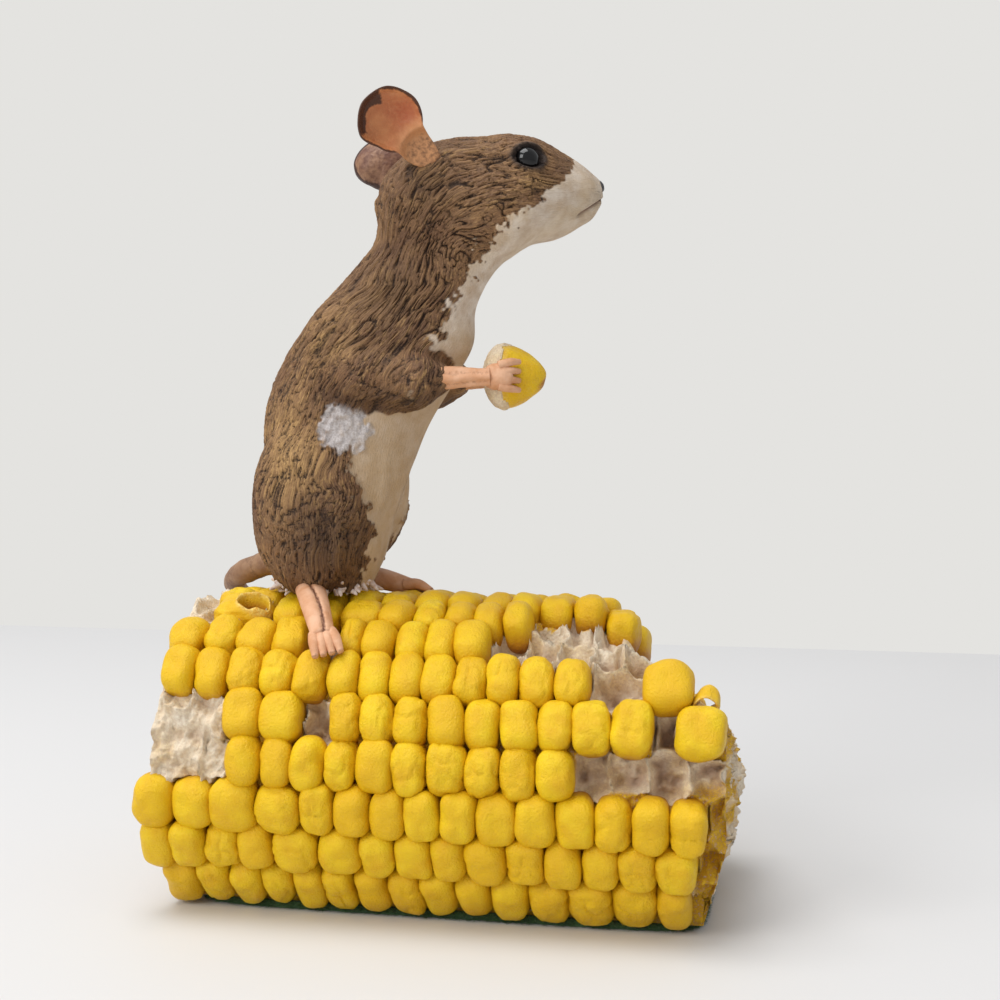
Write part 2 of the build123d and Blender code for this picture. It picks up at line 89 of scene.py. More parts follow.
def creases(points, size, seed, sharpness):
    """1 along the lines where noise passes 0, falling to 0 beside them."""
    return 1 - np.minimum(np.abs(noise(points, size, seed)) * sharpness, 1)


def smooth_step(value, low, high):
    share = np.clip((value - low) / (high - low), 0, 1)
    return share * share * (3 - 2 * share)


def bell(value, middle, width):
    """1 at the middle, fading to 0 on both sides."""
    return np.exp(-(((value - middle) / width) ** 2))


def near_place(points, centre, half_sizes):
    """1 at a place, fading to 0 over its half sizes."""
    away = (points - np.asarray(centre)) / np.asarray(half_sizes)
    return np.exp(-(away**2).sum(axis=1))


def unit(way):
    """A direction, or rows of them, made 1 long."""
    way = np.asarray(way, float)
    return way / (np.linalg.norm(way) if way.ndim == 1 else np.linalg.norm(way, axis=1)[:, None])


def level_place(x, y, depth=0.0):
    """Points that share one depth."""
    return np.stack((x, y, np.full(len(x), depth)), axis=1)


def ring_turns(count):
    return np.arange(count) * 2 * pi / count


def smooth_table(stations, *rows, count=600):
    """Dense stations, and a dense smooth curve through each row of given values."""
    stations = np.asarray(stations, float)
    dense = np.linspace(stations[0], stations[-1], count)
    left = np.clip(np.searchsorted(stations, dense, side="right") - 1, 0, len(stations) - 2)
    gap = stations[left + 1] - stations[left]
    t = (dense - stations[left]) / gap
    curves = [dense]
    for values in rows:
        values = np.asarray(values, float)
        slopes = np.gradient(values, stations)
        curves.append(
            (2 * t**3 - 3 * t**2 + 1) * values[left]
            + (t**3 - 2 * t**2 + t) * gap * slopes[left]
            + (3 * t**2 - 2 * t**3) * values[left + 1]
            + (t**3 - t**2) * gap * slopes[left + 1]
        )
    return curves


def smooth_route(route, count):
    """A dense smooth route through given points, whose columns may hold more than x, y and z."""
    route = np.asarray(route, float)
    return np.stack(smooth_table(np.arange(len(route)), *route.T, count=count)[1:], axis=1)


# Meshes


def put_in_scene(name, data):
    piece = bpy.data.objects.new(name, data)
    bpy.context.scene.collection.objects.link(piece)
    return piece


def grid_faces(rows, columns):
    """Four-cornered faces over a grid of points whose columns close into rings."""
    row, column = np.meshgrid(np.arange(rows - 1), np.arange(columns), indexing="ij")
    after = (column + 1) % columns
    near, far = row * columns, (row + 1) * columns
    return np.stack([c.ravel() for c in (near + column, near + after, far + after, far + column)], axis=1)


def sealed_faces(rows, columns, first=True, last=True):
    """The faces of a ringed grid, with one more face over its first and its last ring."""
    faces = grid_faces(rows, columns).tolist()
    if first:
        faces.append(list(reversed(range(columns))))
    if last:
        faces.append([(rows - 1) * columns + column for column in range(columns)])
    return faces


def turned(faces):
    return [face[::-1] for face in faces]


def ball_grid(rings, sides):
    """Unit directions over a ball, pole to pole along z, and its faces. Its poles are tiny closed rings."""
    polar = np.linspace(0.02, pi - 0.02, rings)
    p, a = np.meshgrid(polar, ring_turns(sides), indexing="ij")
    way = np.stack((np.sin(p) * np.cos(a), np.sin(p) * np.sin(a), np.cos(p)), axis=-1).reshape(-1, 3)
    return way, turned(sealed_faces(rings, sides))


def pillow(way, half_sizes, power):
    """A ball's directions pressed into a pillow with flattened sides."""
    reach = (np.abs(way) ** power).sum(axis=1) ** (-1 / power)
    return way * reach[:, None] * half_sizes


def tube(route, radii, sides, flatten=1):
    """The points and faces of a closed tube along a smooth route, and how far along it each point lies."""
    steps = 14 * (len(route) - 1)
    dense = smooth_route(np.column_stack((np.array(route, float), radii)), steps)
    line, size = dense[:, :3], dense[:, 3]
    way = unit(np.gradient(line, axis=0))
    side = np.cross(way[0], (0, 0, 1.0) if abs(way[0][2]) < 0.9 else (1.0, 0, 0))
    turn = ring_turns(sides)
    rings = []
    for place, ahead, reach in zip(line, way, size):
        side = unit(side - ahead * (side @ ahead))
        up = np.cross(side, ahead)
        x, y = np.cos(turn) * reach, np.sin(turn) * (reach * flatten)
        rings.append(place + np.outer(x, side) + np.outer(y, up))
    return np.concatenate(rings), sealed_faces(steps, sides), np.repeat(np.linspace(0, 1, steps), sides)


def swollen(points, sides, share):
    """A tube's points moved out from the middles of its rings, by a share of their reach."""
    middles = np.repeat(points.reshape(-1, sides, 3).mean(axis=1), sides, axis=0)
    return points + (points - middles) * share[:, None]


class Heap:
    """Points, faces and attributes of one piece, gathered lump by lump."""

    def __init__(self, *labels):
        self.points, self.faces, self.count = [], [], 0
        self.values = {label: [] for label in labels}

    def add(self, points, faces, **values):
        """Adds a lump, with one number or one row of numbers per point for each label."""
        self.points.append(points)
        self.faces.extend([[corner + self.count for corner in face] for face in faces])
        self.count += len(points)
        for label, held in self.values.items():
            given = np.asarray(values[label], float)
            held.append(given if given.ndim else np.full(len(points), given))

    def add_part(self, points, faces, **values):
        """Adds only the points that the four-cornered faces use."""
        used, faces = np.unique(faces, return_inverse=True)
        values = {label: np.broadcast_to(given, len(points))[used] for label, given in values.items()}
        self.add(points[used], faces.reshape(-1, 4).tolist(), **values)

    def make(self, name, material, slot, *nodes):
        """The piece, which rides on the figurine and stands for the CAD nodes that it replaces."""
        mesh = bpy.data.meshes.new(name)
        mesh.from_pydata((np.concatenate(self.points) * MILLIMETRE).tolist(), [], self.faces)
        mesh.polygons.foreach_set("use_smooth", np.ones(len(mesh.polygons), bool))
        for label, held in self.values.items():
            values = np.concatenate(held)
            kind, key = ("FLOAT", "value") if values.ndim == 1 else ("FLOAT_VECTOR", "vector")
            mesh.attributes.new(label, kind, "POINT").data.foreach_set(key, values.ravel())
        mesh.materials.append(material)
        mesh.update()
        piece = put_in_scene(name, mesh)
        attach(piece, "root")
        if nodes:
            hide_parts(*nodes)


# Materials


def colour(*levels):
    """A colour as a screen shows it, from 0 to 255, made linear."""
    shares = [level / 255 for level in levels]
    return tuple(s / 12.92 if s <= 0.04045 else ((s + 0.055) / 1.055) ** 2.4 for s in shares)


def add_node(tree, kind, inputs, **settings):
    """A shader node. Each input takes another node's output, a number, a vector or a colour."""
    node = tree.nodes.new("ShaderNode" + kind)
    for label, value in settings.items():
        setattr(node, label, value)
    feed_node(tree, node, inputs)
    return node


def feed_node(tree, node, inputs):
    for label, value in inputs.items():
        socket = node.inputs[label]
        if isinstance(value, bpy.types.NodeSocket):
            tree.links.new(value, socket)
        else:
            is_colour = isinstance(value, tuple) and len(socket.default_value) == 4
            socket.default_value = (*value, 1) if is_colour else value


class Nodes:
    """A material's node tree, with short calls for the nodes that these materials use."""

    def __init__(self, name):
        self.material = bpy.data.materials.new(name)
        self.material.use_nodes = True
        self.tree = self.material.node_tree

    def new(self, kind, output, inputs, **settings):
        return add_node(self.tree, kind, inputs, **settings).outputs[output]

    def attribute(self, name, output="Fac"):
        return self.new("Attribute", output, {}, attribute_name=name)

    def place(self, stretch=(1, 1, 1)):
        """Object coordinates in millimetres."""
        return self.stretched(self.new("TexCoord", "Object", {}), [1000 * share for share in stretch])

    def stretched(self, vector, scale):
        return self.new("VectorMath", "Vector", {0: vector, 1: scale}, operation="MULTIPLY")

    def noise(self, place, scale, detail, roughness=0.5, distortion=0.0):
        inputs = {"Vector": place, "Scale": scale, "Detail": detail}
        return self.new("TexNoise", "Fac", inputs | {"Roughness": roughness, "Distortion": distortion})

    def between(self, value, low, high, to_low=0.0, to_high=1.0):
        """The value, spread so that low becomes to_low and high becomes to_high, and held there."""
        inputs = {"Value": value, "From Min": low, "From Max": high}
        return self.new("MapRange", "Result", inputs | {"To Min": to_low, "To Max": to_high})

    def add(self, first, second):
        return self.new("Math", "Value", {0: first, 1: second}, operation="ADD")

    def times(self, first, second):
        return self.new("Math", "Value", {0: first, 1: second}, operation="MULTIPLY")

    def mix(self, share, first, second):
        return self.new("Mix", "Result", {"Factor": share, "A": first, "B": second}, data_type="RGBA")

    def ramp(self, value, low, high, first, second):
        """The first colour at low, the second at high."""
        return self.mix(self.between(value, low, high), colour(*first), colour(*second))

    def over(self, base, tint, value, low, high, most=1.0):
        """The base with no tint at low, and the most of it at high."""
        return self.mix(self.between(value, low, high, 0, most), base, colour(*tint))

    def bump(self, height, distance, strength=1.0, **before):
        """Relief of that depth in millimetres."""
        inputs = {"Strength": strength, "Distance": distance * MILLIMETRE, "Height": height}
        return self.new("Bump", "Normal", inputs | before)

    def finish(self, tint, roughness, **plain):
        inputs = {label.replace("_", " "): value for label, value in plain.items()}
        inputs = {"Base Color": tint, "Roughness": roughness} | inputs
        feed_node(self.tree, self.tree.nodes["Principled BSDF"], inputs)
        return self.material


def kernel_material():
    """Yellow clay, satin, with orange clay and painted shade toward the creases between kernels, paler where
    it is torn.
    """
    n = Nodes("kernel_yellow")
    place = n.place()
    rise, tone, torn = [n.attribute(name) for name in ("rise", "tone", "torn")]
    broad = n.noise(place, 0.35, 3)
    fine = n.noise(place, 2.2, 4, 0.6)
    base = n.ramp(tone, -1, 1, (228, 182, 10), (238, 202, 22))
    base = n.over(base, (223, 174, 8), broad, 0.35, 0.7)
    crease_colour_and_shade = n.add(rise, n.between(fine, 0.3, 0.7, -0.08, 0.08))
    # Orange clay and painted shade toward the creases between kernels, darkest at their roots.
    base = n.over(base, (198, 138, 14), crease_colour_and_shade, 0.60, 0.20)
    base = n.over(base, (158, 98, 14), crease_colour_and_shade, 0.30, 0.0)
    specks = n.noise(place, 5.5, 2, 0.6)
    base = n.over(base, (240, 212, 90), specks, 0.64, 0.74, 0.22)
    base = n.mix(torn, base, n.ramp(fine, 0.35, 0.65, (214, 150, 40), (246, 224, 140)))
    pits = n.bump(n.noise(place, 3.2, 5, 0.62), 0.22)
    relief = n.bump(broad, 0.25, 0.6, Normal=pits)
    return n.finish(base, n.between(fine, 0.3, 0.7, 0.36, 0.50), Normal=relief, Specular_IOR_Level=0.36)


def pith_material():
    """Torn cream clay, with painted mauve and brown shade in its hollows, and films of yellow."""
    n = Nodes("torn_pith")
    place = n.place()
    hollow, film = n.attribute("hollow"), n.attribute("film")
    broad = n.noise(place, 0.45, 4)
    fine = n.noise(place, 2.6, 6, 0.65)
    base = n.ramp(broad, 0.35, 0.65, (234, 215, 184), (244, 232, 210))
    base = n.over(base, (200, 170, 142), fine, 0.60, 0.36, 0.5)
    # Painted mauve and brown shade, deepest down in the hollows.
    base = n.over(base, (192, 162, 138), hollow, 0.30, 0.85, 0.8)
    base = n.over(base, (140, 110, 92), hollow, 0.85, 1.1, 0.8)
    yellow = n.ramp(fine, 0.40, 0.62, (196, 140, 30), (232, 190, 48))
    base = n.mix(n.times(film, n.between(fine, 0.30, 0.46)), base, yellow)
    relief = n.bump(fine, 0.35)
    return n.finish(base, n.between(fine, 0.3, 0.7, 0.62, 0.85), Normal=relief, Specular_IOR_Level=0.3)


def felt_material():
    n = Nodes("green_felt")
    fibre = n.noise(n.place(), 5.0, 5, 0.7, 0.6)
    base = n.ramp(fibre, 0.35, 0.65, (26, 60, 26), (66, 116, 52))
    base = n.over(base, (104, 156, 74), n.attribute("tone"), 0, 1, 0.6)
    return n.finish(base, 0.95, Normal=n.bump(fibre, 0.3), Sheen_Weight=0.25)


def fur_material():
    """Carved brown clay: a dark wash in the grooves, tan where the ridges were brushed, a cream belly."""
    n = Nodes("brown_fur")
    place = n.place()
    flow = n.attribute("flow", "Vector")
    streak = n.noise(n.stretched(flow, (0.62, 3.4, 1)), 1.0, 4, 0.62, 0.5)
    hair = n.noise(n.stretched(flow, (0.9, 9.0, 1)), 1.0, 3, 0.6, 0.3)
    broad = n.noise(place, 0.16, 3)
    blotch = n.noise(place, 0.55, 3)
    grain = n.noise(place, 3.4, 3, 0.65)
    groove, shade, fluff = [n.attribute(name) for name in ("groove", "shade", "fluff")]
    base = n.ramp(broad, 0.36, 0.64, (120, 86, 60), (146, 110, 75))
    base = n.over(base, (92, 66, 50), blotch, 0.42, 0.70, 0.55)
    ridge = n.add(n.between(streak, 0.48, 0.72), n.times(n.attribute("tan"), 0.75))
    ridge = n.times(ridge, n.between(n.attribute("lock"), -0.5, 0.6, 0.35, 1.0))
    base = n.over(base, (188, 149, 96), ridge, 0.05, 1.0, 0.90)
    base = n.over(base, (66, 45, 32), hair, 0.53, 0.36, 0.45)
    base = n.over(base, (194, 156, 106), hair, 0.56, 0.70, 0.45)
    base = n.over(base, (58, 40, 30), shade, 0, 1, 0.78)
    wash = n.add(groove, n.between(grain, 0.50, 0.70, -0.10, 0.50))
    wash = n.add(wash, n.between(streak, 0.46, 0.28, 0, 0.60))
    base = n.over(base, (40, 26, 18), wash, 0.22, 0.85, 0.93)
    belly = n.ramp(blotch, 0.35, 0.65, (198, 176, 152), (222, 207, 190))
    belly = n.over(belly, (186, 160, 130), streak, 0.50, 0.72, 0.35)
    belly = n.over(belly, (206, 180, 138), broad, 0.42, 0.58, 0.30)
    height = n.new("SeparateXYZ", "Z", {"Vector": place})
    belly = n.over(belly, (176, 146, 108), height, 80, 69, 0.6)
    base = n.mix(n.attribute("bare"), base, belly)
    white = n.ramp(grain, 0.35, 0.65, (172, 163, 160), (208, 202, 200))
    base = n.mix(n.times(fluff, n.between(blotch, 0.30, 0.48, 0.55, 0.95)), base, white)
    base = n.over(base, (44, 36, 34), n.attribute("lid"), 0, 1, 0.92)
    # Painted highlight at the rear corner of each eye.
    base = n.mix(n.attribute("corner"), base, colour(176, 170, 168))
    base = n.over(base, (120, 84, 72), n.attribute("mouth"), 0.2, 0.9, 0.7)
    relief = n.bump(n.add(n.add(grain, hair), n.times(streak, 1.5)), 0.12)
    return n.finish(base, n.between(grain, 0.3, 0.7, 0.55, 0.75), Normal=relief, Specular_IOR_Level=0.3)


def fringe_material():
    n = Nodes("pale_fringe")
    grain = n.noise(n.place(), 2.2, 3)
    base = n.ramp(grain, 0.35, 0.65, (206, 182, 170), (232, 218, 208))
    base = n.over(base, (170, 138, 112), n.attribute("tip"), 0.5, 0.0, 0.5)
    return n.finish(base, 0.7, Normal=n.bump(grain, 0.06), Specular_IOR_Level=0.3)


def eye_material():
    n = Nodes("black_bead")
    place = n.place()
    tint = n.mix(n.noise(place, 1.4, 2), colour(5, 5, 6), colour(14, 13, 14))
    return n.finish(tint, n.between(n.noise(place, 3.0, 3), 0.3, 0.7, 0.05, 0.11), Specular_IOR_Level=0.42)


def nose_material():
    n = Nodes("black_nose")
    place = n.place()
    tint = n.mix(n.noise(place, 2.0, 3), colour(22, 18, 18), colour(52, 42, 40))
    return n.finish(tint, 0.35, Normal=n.bump(n.noise(place, 6.0, 3), 0.05), Specular_IOR_Level=0.5)


def ear_material():
    n = Nodes("ear_orange")
    place = n.place()
    broad = n.noise(place, 0.45, 3)
    fine = n.noise(place, 1.8, 4)
    inner = n.ramp(broad, 0.40, 0.62, (204, 136, 88), (186, 116, 74))
    rust = n.times(n.attribute("rust"), n.between(fine, 0.3, 0.7, 0.55, 1.0))
    inner = n.mix(rust, inner, colour(170, 88, 54))
    inner = n.over(inner, (204, 150, 104), n.attribute("root"), 0.1, 0.9, 0.8)
    outer = n.ramp(broad, 0.35, 0.65, (150, 112, 84), (108, 70, 54))
    outer = n.over(outer, (86, 54, 44), fine, 0.45, 0.72, 0.6)
    base = n.mix(n.attribute("inside"), outer, inner)
    # The dark attribute holds the rim, a dark edge with painted shade along it, and a dark patch inside.
    edge = n.add(n.attribute("dark"), n.between(fine, 0.3, 0.7, -0.25, 0.15))
    base = n.over(base, (58, 34, 26), edge, 0.35, 0.75, 0.92)
    joint = n.add(n.attribute("root"), n.between(fine, 0.3, 0.7, -0.15, 0.15))
    base = n.over(base, (116, 84, 60), joint, 0.92, 1.12, 0.8)
    roughness = n.between(fine, 0.3, 0.7, 0.42, 0.62)
    return n.finish(base, roughness, Normal=n.bump(fine, 0.14), Specular_IOR_Level=0.35)


def skin_material(name, pale, deep, groove):
    n = Nodes(name)
    place = n.place()
    broad = n.noise(place, 0.5, 3)
    fine = n.noise(place, 2.4, 4, 0.6)
    base = n.ramp(broad, 0.35, 0.65, pale, deep)
    dark = n.add(n.attribute("dark"), n.between(fine, 0.3, 0.7, -0.2, 0.2))
    base = n.over(base, groove, dark, 0.35, 0.9)
    roughness = n.between(fine, 0.3, 0.7, 0.45, 0.65)
    return n.finish(base, roughness, Normal=n.bump(fine, 0.10), Specular_IOR_Level=0.35)


def steel_material():
    n = Nodes("steel_wire")
    drawn = n.noise(n.place((1, 1, 0.2)), 6.0, 4, 0.6)
    base = n.ramp(drawn, 0.35, 0.65, (128, 130, 134), (176, 178, 182))
    return n.finish(base, n.between(drawn, 0.3, 0.7, 0.28, 0.45), Normal=n.bump(drawn, 0.02), Metallic=1.0)


# Kernels

# How far a kernel's middle lies below its crown, and how far below it the attribute rise reaches 0. A low
# rise gets orange clay and painted shade.
CROWN_DEPTH = 3.0
RISE_DEPTH = 5.2


def row_axes(row):
    """Outward and across directions of a row of kernels."""
    turn = (row - TOP_ROW) * ROW_STEP
    return np.array((0, sin(turn), cos(turn))), np.array((0, cos(turn), -sin(turn)))


def islands(node):
    """The separate solids of a node, each as its points in millimetres."""
    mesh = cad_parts[node].data
    points = np.empty(len(mesh.vertices) * 3)
    mesh.vertices.foreach_get("co", points)
    points = points.reshape(-1, 3) / MILLIMETRE
    unique, place = np.unique(points.round(3), axis=0, return_inverse=True)
    edges = np.empty(len(mesh.edges) * 2, int)
    mesh.edges.foreach_get("vertices", edges)
    first, second = place.ravel()[edges.reshape(-1, 2)].T
    label = np.arange(len(unique))
    while True:
        lowest = label.copy()
        np.minimum.at(lowest, first, label[second])
        np.minimum.at(lowest, second, label[first])
        if (lowest == label).all():
            return [unique[label == kept] for kept in np.unique(label)]
        label = lowest


def kernel_places(row):
    """The middle, length and crown radius of each kernel in a row, from left to right."""
    outward, _ = row_axes(row)
    places = []
    for points in islands(f"kernel_row_{row + 1:02d}"):
        radial = points[:, 1] * outward[1] + (points[:, 2] - AXIS_HEIGHT) * outward[2]
        low, high = points[:, 0].min(), points[:, 0].max()
        places.append(((low + high) / 2, high - low, radial.max()))
    return sorted(places)


KERNELS = [kernel_places(row) for row in range(ROW_COUNT)]
BALL_WAY, BALL_FACES = ball_grid(31, 40)


def kernel_form(length, seed):
    """One kernel's points in its own axes: along the cob, across the row, outward. Its crown is at 0."""
    chance = np.random.default_rng(seed)
    half_width = 3.52 * chance.uniform(0.97, 1.03)
    half_sizes = np.array((length / 2 + 0.22, half_width, 3.1))
    points = pillow(BALL_WAY, half_sizes, 2.9 + chance.uniform(-0.3, 0.5))
    points[:, 2] *= np.where(points[:, 2] < 0, 1.05, 1)
    narrow = smooth_step(-points[:, 2], -0.5, 3.2)
    points[:, :2] *= (1 - 0.11 * narrow)[:, None]
    for axis, lean in enumerate(chance.uniform(-0.06, 0.06, 2)):
        points[:, axis] += lean * (points[:, 2] + 1.0)
    seat = points + np.array((seed * 7.3, seed * 3.1, 0.0))
    relief = 0.26 * noise(seat, 2.4, 3) + 0.07 * noise(seat, 1.0, 4)
    wrinkled = chance.random() < 0.36
    if wrinkled:
        relief -= 0.22 * creases(seat, 1.8, 6, 5) * (points[:, 2] > 0)
    points += unit(BALL_WAY) * relief[:, None]
    points[:, 2] -= CROWN_DEPTH
    return points


def place_kernel(points, row, along, crown):
    outward, across = row_axes(row)
    centre = np.array((along, 0, AXIS_HEIGHT)) + outward * crown
    return centre + points[:, :1] * np.array((1.0, 0, 0)) + points[:, 1:2] * across + points[:, 2:3] * outward


def build_kernel_rows(material):
    """Every kernel is a little different. Those of the two lowest rows are drawn out toward the foot."""
    lowest = 0.6
    for row in range(ROW_COUNT):
        heap = Heap("rise", "tone", "torn")
        for number, (along, length, crown) in enumerate(KERNELS[row]):
            seed = row * 40 + number
            chance = np.random.default_rng(seed + 900)
            points = kernel_form(length, seed)
            rise = 1 + points[:, 2] / RISE_DEPTH
            if row in (0, ROW_COUNT - 1):
                foot_side = points[:, 1] * (1 if row else -1) > 0
                points[:, 1] *= np.where(foot_side, 1.5, 1)
            turn = chance.uniform(-0.07, 0.07)
            x, y, z = points.T
            twisted = np.stack((x * cos(turn) - y * sin(turn), x * sin(turn) + y * cos(turn), z), axis=1)
            placed = place_kernel(twisted, row, along, crown)
            placed[:, 2] = np.maximum(placed[:, 2], lowest)
            heap.add(placed, BALL_FACES, rise=rise, tone=chance.uniform(-1, 1), torn=0)
        name = f"kernel_row_{row + 1:02d}"
        heap.make(name + "_painted", material, "kernel", name)


# Core

# The plane along which the cob's top right is broken off
BREAK_TOP = np.array((20.0, 0.0, AXIS_HEIGHT + CORE_RADIUS))
BREAK_DIRECTION = unit((0.8, 0.37, 1.0))
# Further out than any part of the cob
BEYOND = 99


def empty_spans(row):
    """The bare stretches of a row, each as its start and end."""
    spans = []
    start = -HALF_LENGTH
    for along, length, _ in KERNELS[row]:
        if along - length / 2 - start > 2.4:
            spans.append((start, along - length / 2))
        start = along + length / 2
    if HALF_LENGTH - start > 1.5:
        spans.append((start, HALF_LENGTH))
    return spans


def core_relief(turn, along, seat):
    """How far the torn core stands out at each place, and how much painted shade it gets there."""
    row_place = turn / ROW_STEP + TOP_ROW + 0.26 * noise(seat, 2.0, 81)
    row = np.round(row_place).astype(int)
    side = np.abs(row_place - row) * 2
    height, hollow = np.zeros((2, len(turn)))
    wander = 0.85 * noise(seat, 1.8, 82)
    vane = 0.55 + 0.75 * noise(seat, 2.2, 83)
    folds = creases(seat * np.array((1, 0.6, 0.6)), 2.0, 84, 3)
    for each in range(ROW_COUNT):
        for start, end in empty_spans(each):
            here = (row == each) & (along >= start) & (along <= end)
            by_tail = (start + end) / 2 < -25
            if by_tail:
                height[here] = 2.2 + 1.5 * folds[here] + 0.8 * vane[here]
                hollow[here] = 0.25 * (1 - folds[here])
                continue
            pitch = (end - start) / max(1, round((end - start) / KERNEL_PITCH))
            phase = ((along[here] + wander[here] - start) / pitch) % 1
            end_wall = np.abs(phase - 0.5) * 2
            wall = np.clip(np.maximum(side[here] ** 2.2, end_wall**4), 0, 1)
            height[here] = wall * (1.0 + 1.5 * vane[here]) - 1.3 * (1 - wall)
            # The socket floors get painted shade; the walls stay pale.
            hollow[here] = np.clip(1 - wall * 1.3, 0, 1) * (0.55 + 0.5 * vane[here])
    return height, hollow


def end_limit(height):
    """How far along the cob its right end reaches at each height: it is undercut toward the foot."""
    foot_reach, slope = 34.8, 0.28
    return np.minimum(HALF_LENGTH, foot_reach + (height - FELT_HEIGHT) * slope)


def build_core(material):
    """The torn inside of the cob: its side as a grid round the axis, then its two ends."""
    rows, columns = 420, 620
    along = np.linspace(-HALF_LENGTH, HALF_LENGTH, rows)
    turn = np.linspace(-pi, pi, columns, endpoint=False)
    a, t = [g.ravel() for g in np.meshgrid(along, turn, indexing="ij")]
    outward = np.stack((np.zeros(len(t)), np.sin(t), np.cos(t)), axis=1)
    seat = np.stack((a, np.sin(t) * 20, np.cos(t) * 20), axis=1)
    height, hollow = core_relief(t, a, seat)
    covered = height == 0
    height[covered] = 1.4
    ragged = fractal(seat, 1.9, 4, 5)
    height += 0.75 * ragged + 0.35 * creases(seat, 1.1, 85, 3) * (height > 0.3)
    foot = np.abs(t) > ROW_STEP * (ROW_COUNT / 2)
    foot_radius = (AXIS_HEIGHT - FELT_HEIGHT) / np.maximum(-np.cos(t), 0.2)
    radius = np.minimum(CORE_RADIUS + height, np.where(np.cos(t) < -0.3, foot_radius, BEYOND))
    radius = np.where(foot, foot_radius, radius)

    slope = outward @ BREAK_DIRECTION
    offset = BREAK_TOP @ BREAK_DIRECTION - a * BREAK_DIRECTION[0] - AXIS_HEIGHT * BREAK_DIRECTION[2]
    limit = np.where(slope > 0.05, offset / np.maximum(slope, 0.05), BEYOND)
    broken = limit < radius - 0.3
    ridges = creases(seat * np.array((0.6, 1, 1)), 2.6, 86, 2.6)
    torn_limit = limit + 1.0 * ragged + 1.1 * ridges - 0.3
    radius = np.where(broken, np.minimum(radius, torn_limit), radius)
    torn_pith_shade = np.clip(0.45 - 0.5 * ridges - 0.5 * ragged, 0, 1)
    hollow = np.where(broken, torn_pith_shade, np.clip(hollow - 0.3 * ragged, 0, 1))

    points = level_place(a, np.zeros(len(a)), AXIS_HEIGHT) + outward * radius[:, None]
    foot_width, foot_slope, foot_height = 13.2, 0.32, 5.05
    narrow = foot_width - (points[:, 2] - FELT_HEIGHT) * foot_slope
    points[:, 1] = np.where(points[:, 2] < foot_height, np.clip(points[:, 1], -narrow, narrow), points[:, 1])
    points[:, 0] = np.minimum(points[:, 0], end_limit(points[:, 2]) + 0.25 * ragged)
    film = np.clip(fractal(seat, 4.0, 2, 21) * 1.6, 0, 1) * np.where(broken, 0.75, 0.25)
    film = np.maximum(film, np.clip(noise(seat, 3.0, 22) * 2, 0, 1) * smooth_step(a, 32, 35))
    film = np.where(covered & ~broken, 1.0, film)
    film = np.maximum(film, smooth_step(a, 32.5, 34.5) * smooth_step(points[:, 2], 22, 19))
    heap = Heap("hollow", "film")
    heap.add(points, grid_faces(rows, columns).tolist(), hollow=hollow, film=film)
    for end, rim in enumerate((points[:columns], points[-columns:])):
        add_core_end(heap, rim, end)
    heap.make("cob_core_torn", material, "pith", "cob_core")


def add_core_end(heap, rim, end):
    """The torn left end (0) or right end (1) of the cob, from its rim in to its middle."""
    rings, columns = 60, len(rim)
    share = np.linspace(0, 0.985, rings)[:, None, None]
    middle = np.array((rim[0, 0], 0, AXIS_HEIGHT * 0.9))
    cap = (rim[None] * (1 - share) + middle * share).reshape(-1, 3)
    edge = np.repeat(np.linspace(0, 1, rings), columns)
    rough = fractal(cap, 2.2, 4, 40 + end)
    folded = creases(cap, 2.4, 50 + end, 2.6)
    bulge = smooth_step(edge, 0, 0.1) * (0.8 * rough + 0.8 * folded - 0.6)
    reach = end_limit(cap[:, 2]) if end else np.full(len(cap), -HALF_LENGTH)
    keep = smooth_step(edge, 0, 0.06)
    cap[:, 0] = cap[:, 0] * (1 - keep) + reach * keep + bulge * (1 if end else -1)
    faces = sealed_faces(rings, columns, first=False)
    rim_skin = smooth_step(edge + 0.12 * noise(cap, 2.6, 62), 0.22, 0.12) * smooth_step(cap[:, 2], 24, 20)
    film = np.maximum(np.clip(noise(cap, 3.2, 60 + end) * 1.8, 0, 1), rim_skin)
    hollow = np.clip(0.45 - 0.6 * rough - 0.4 * folded, 0, 1)
    heap.add(cap, faces if end else turned(faces), hollow=hollow, film=film)


# Felt pad


def felt_outline(turn):
    """The pad's rounded outline at each turn."""
    half_length, half_width, power = 34.3, 13.9, 9
    reach = (np.abs(np.cos(turn)) ** power + np.abs(np.sin(turn)) ** power) ** (-1 / power)
    return np.stack((np.cos(turn) * reach * half_length, np.sin(turn) * reach * half_width), axis=1)


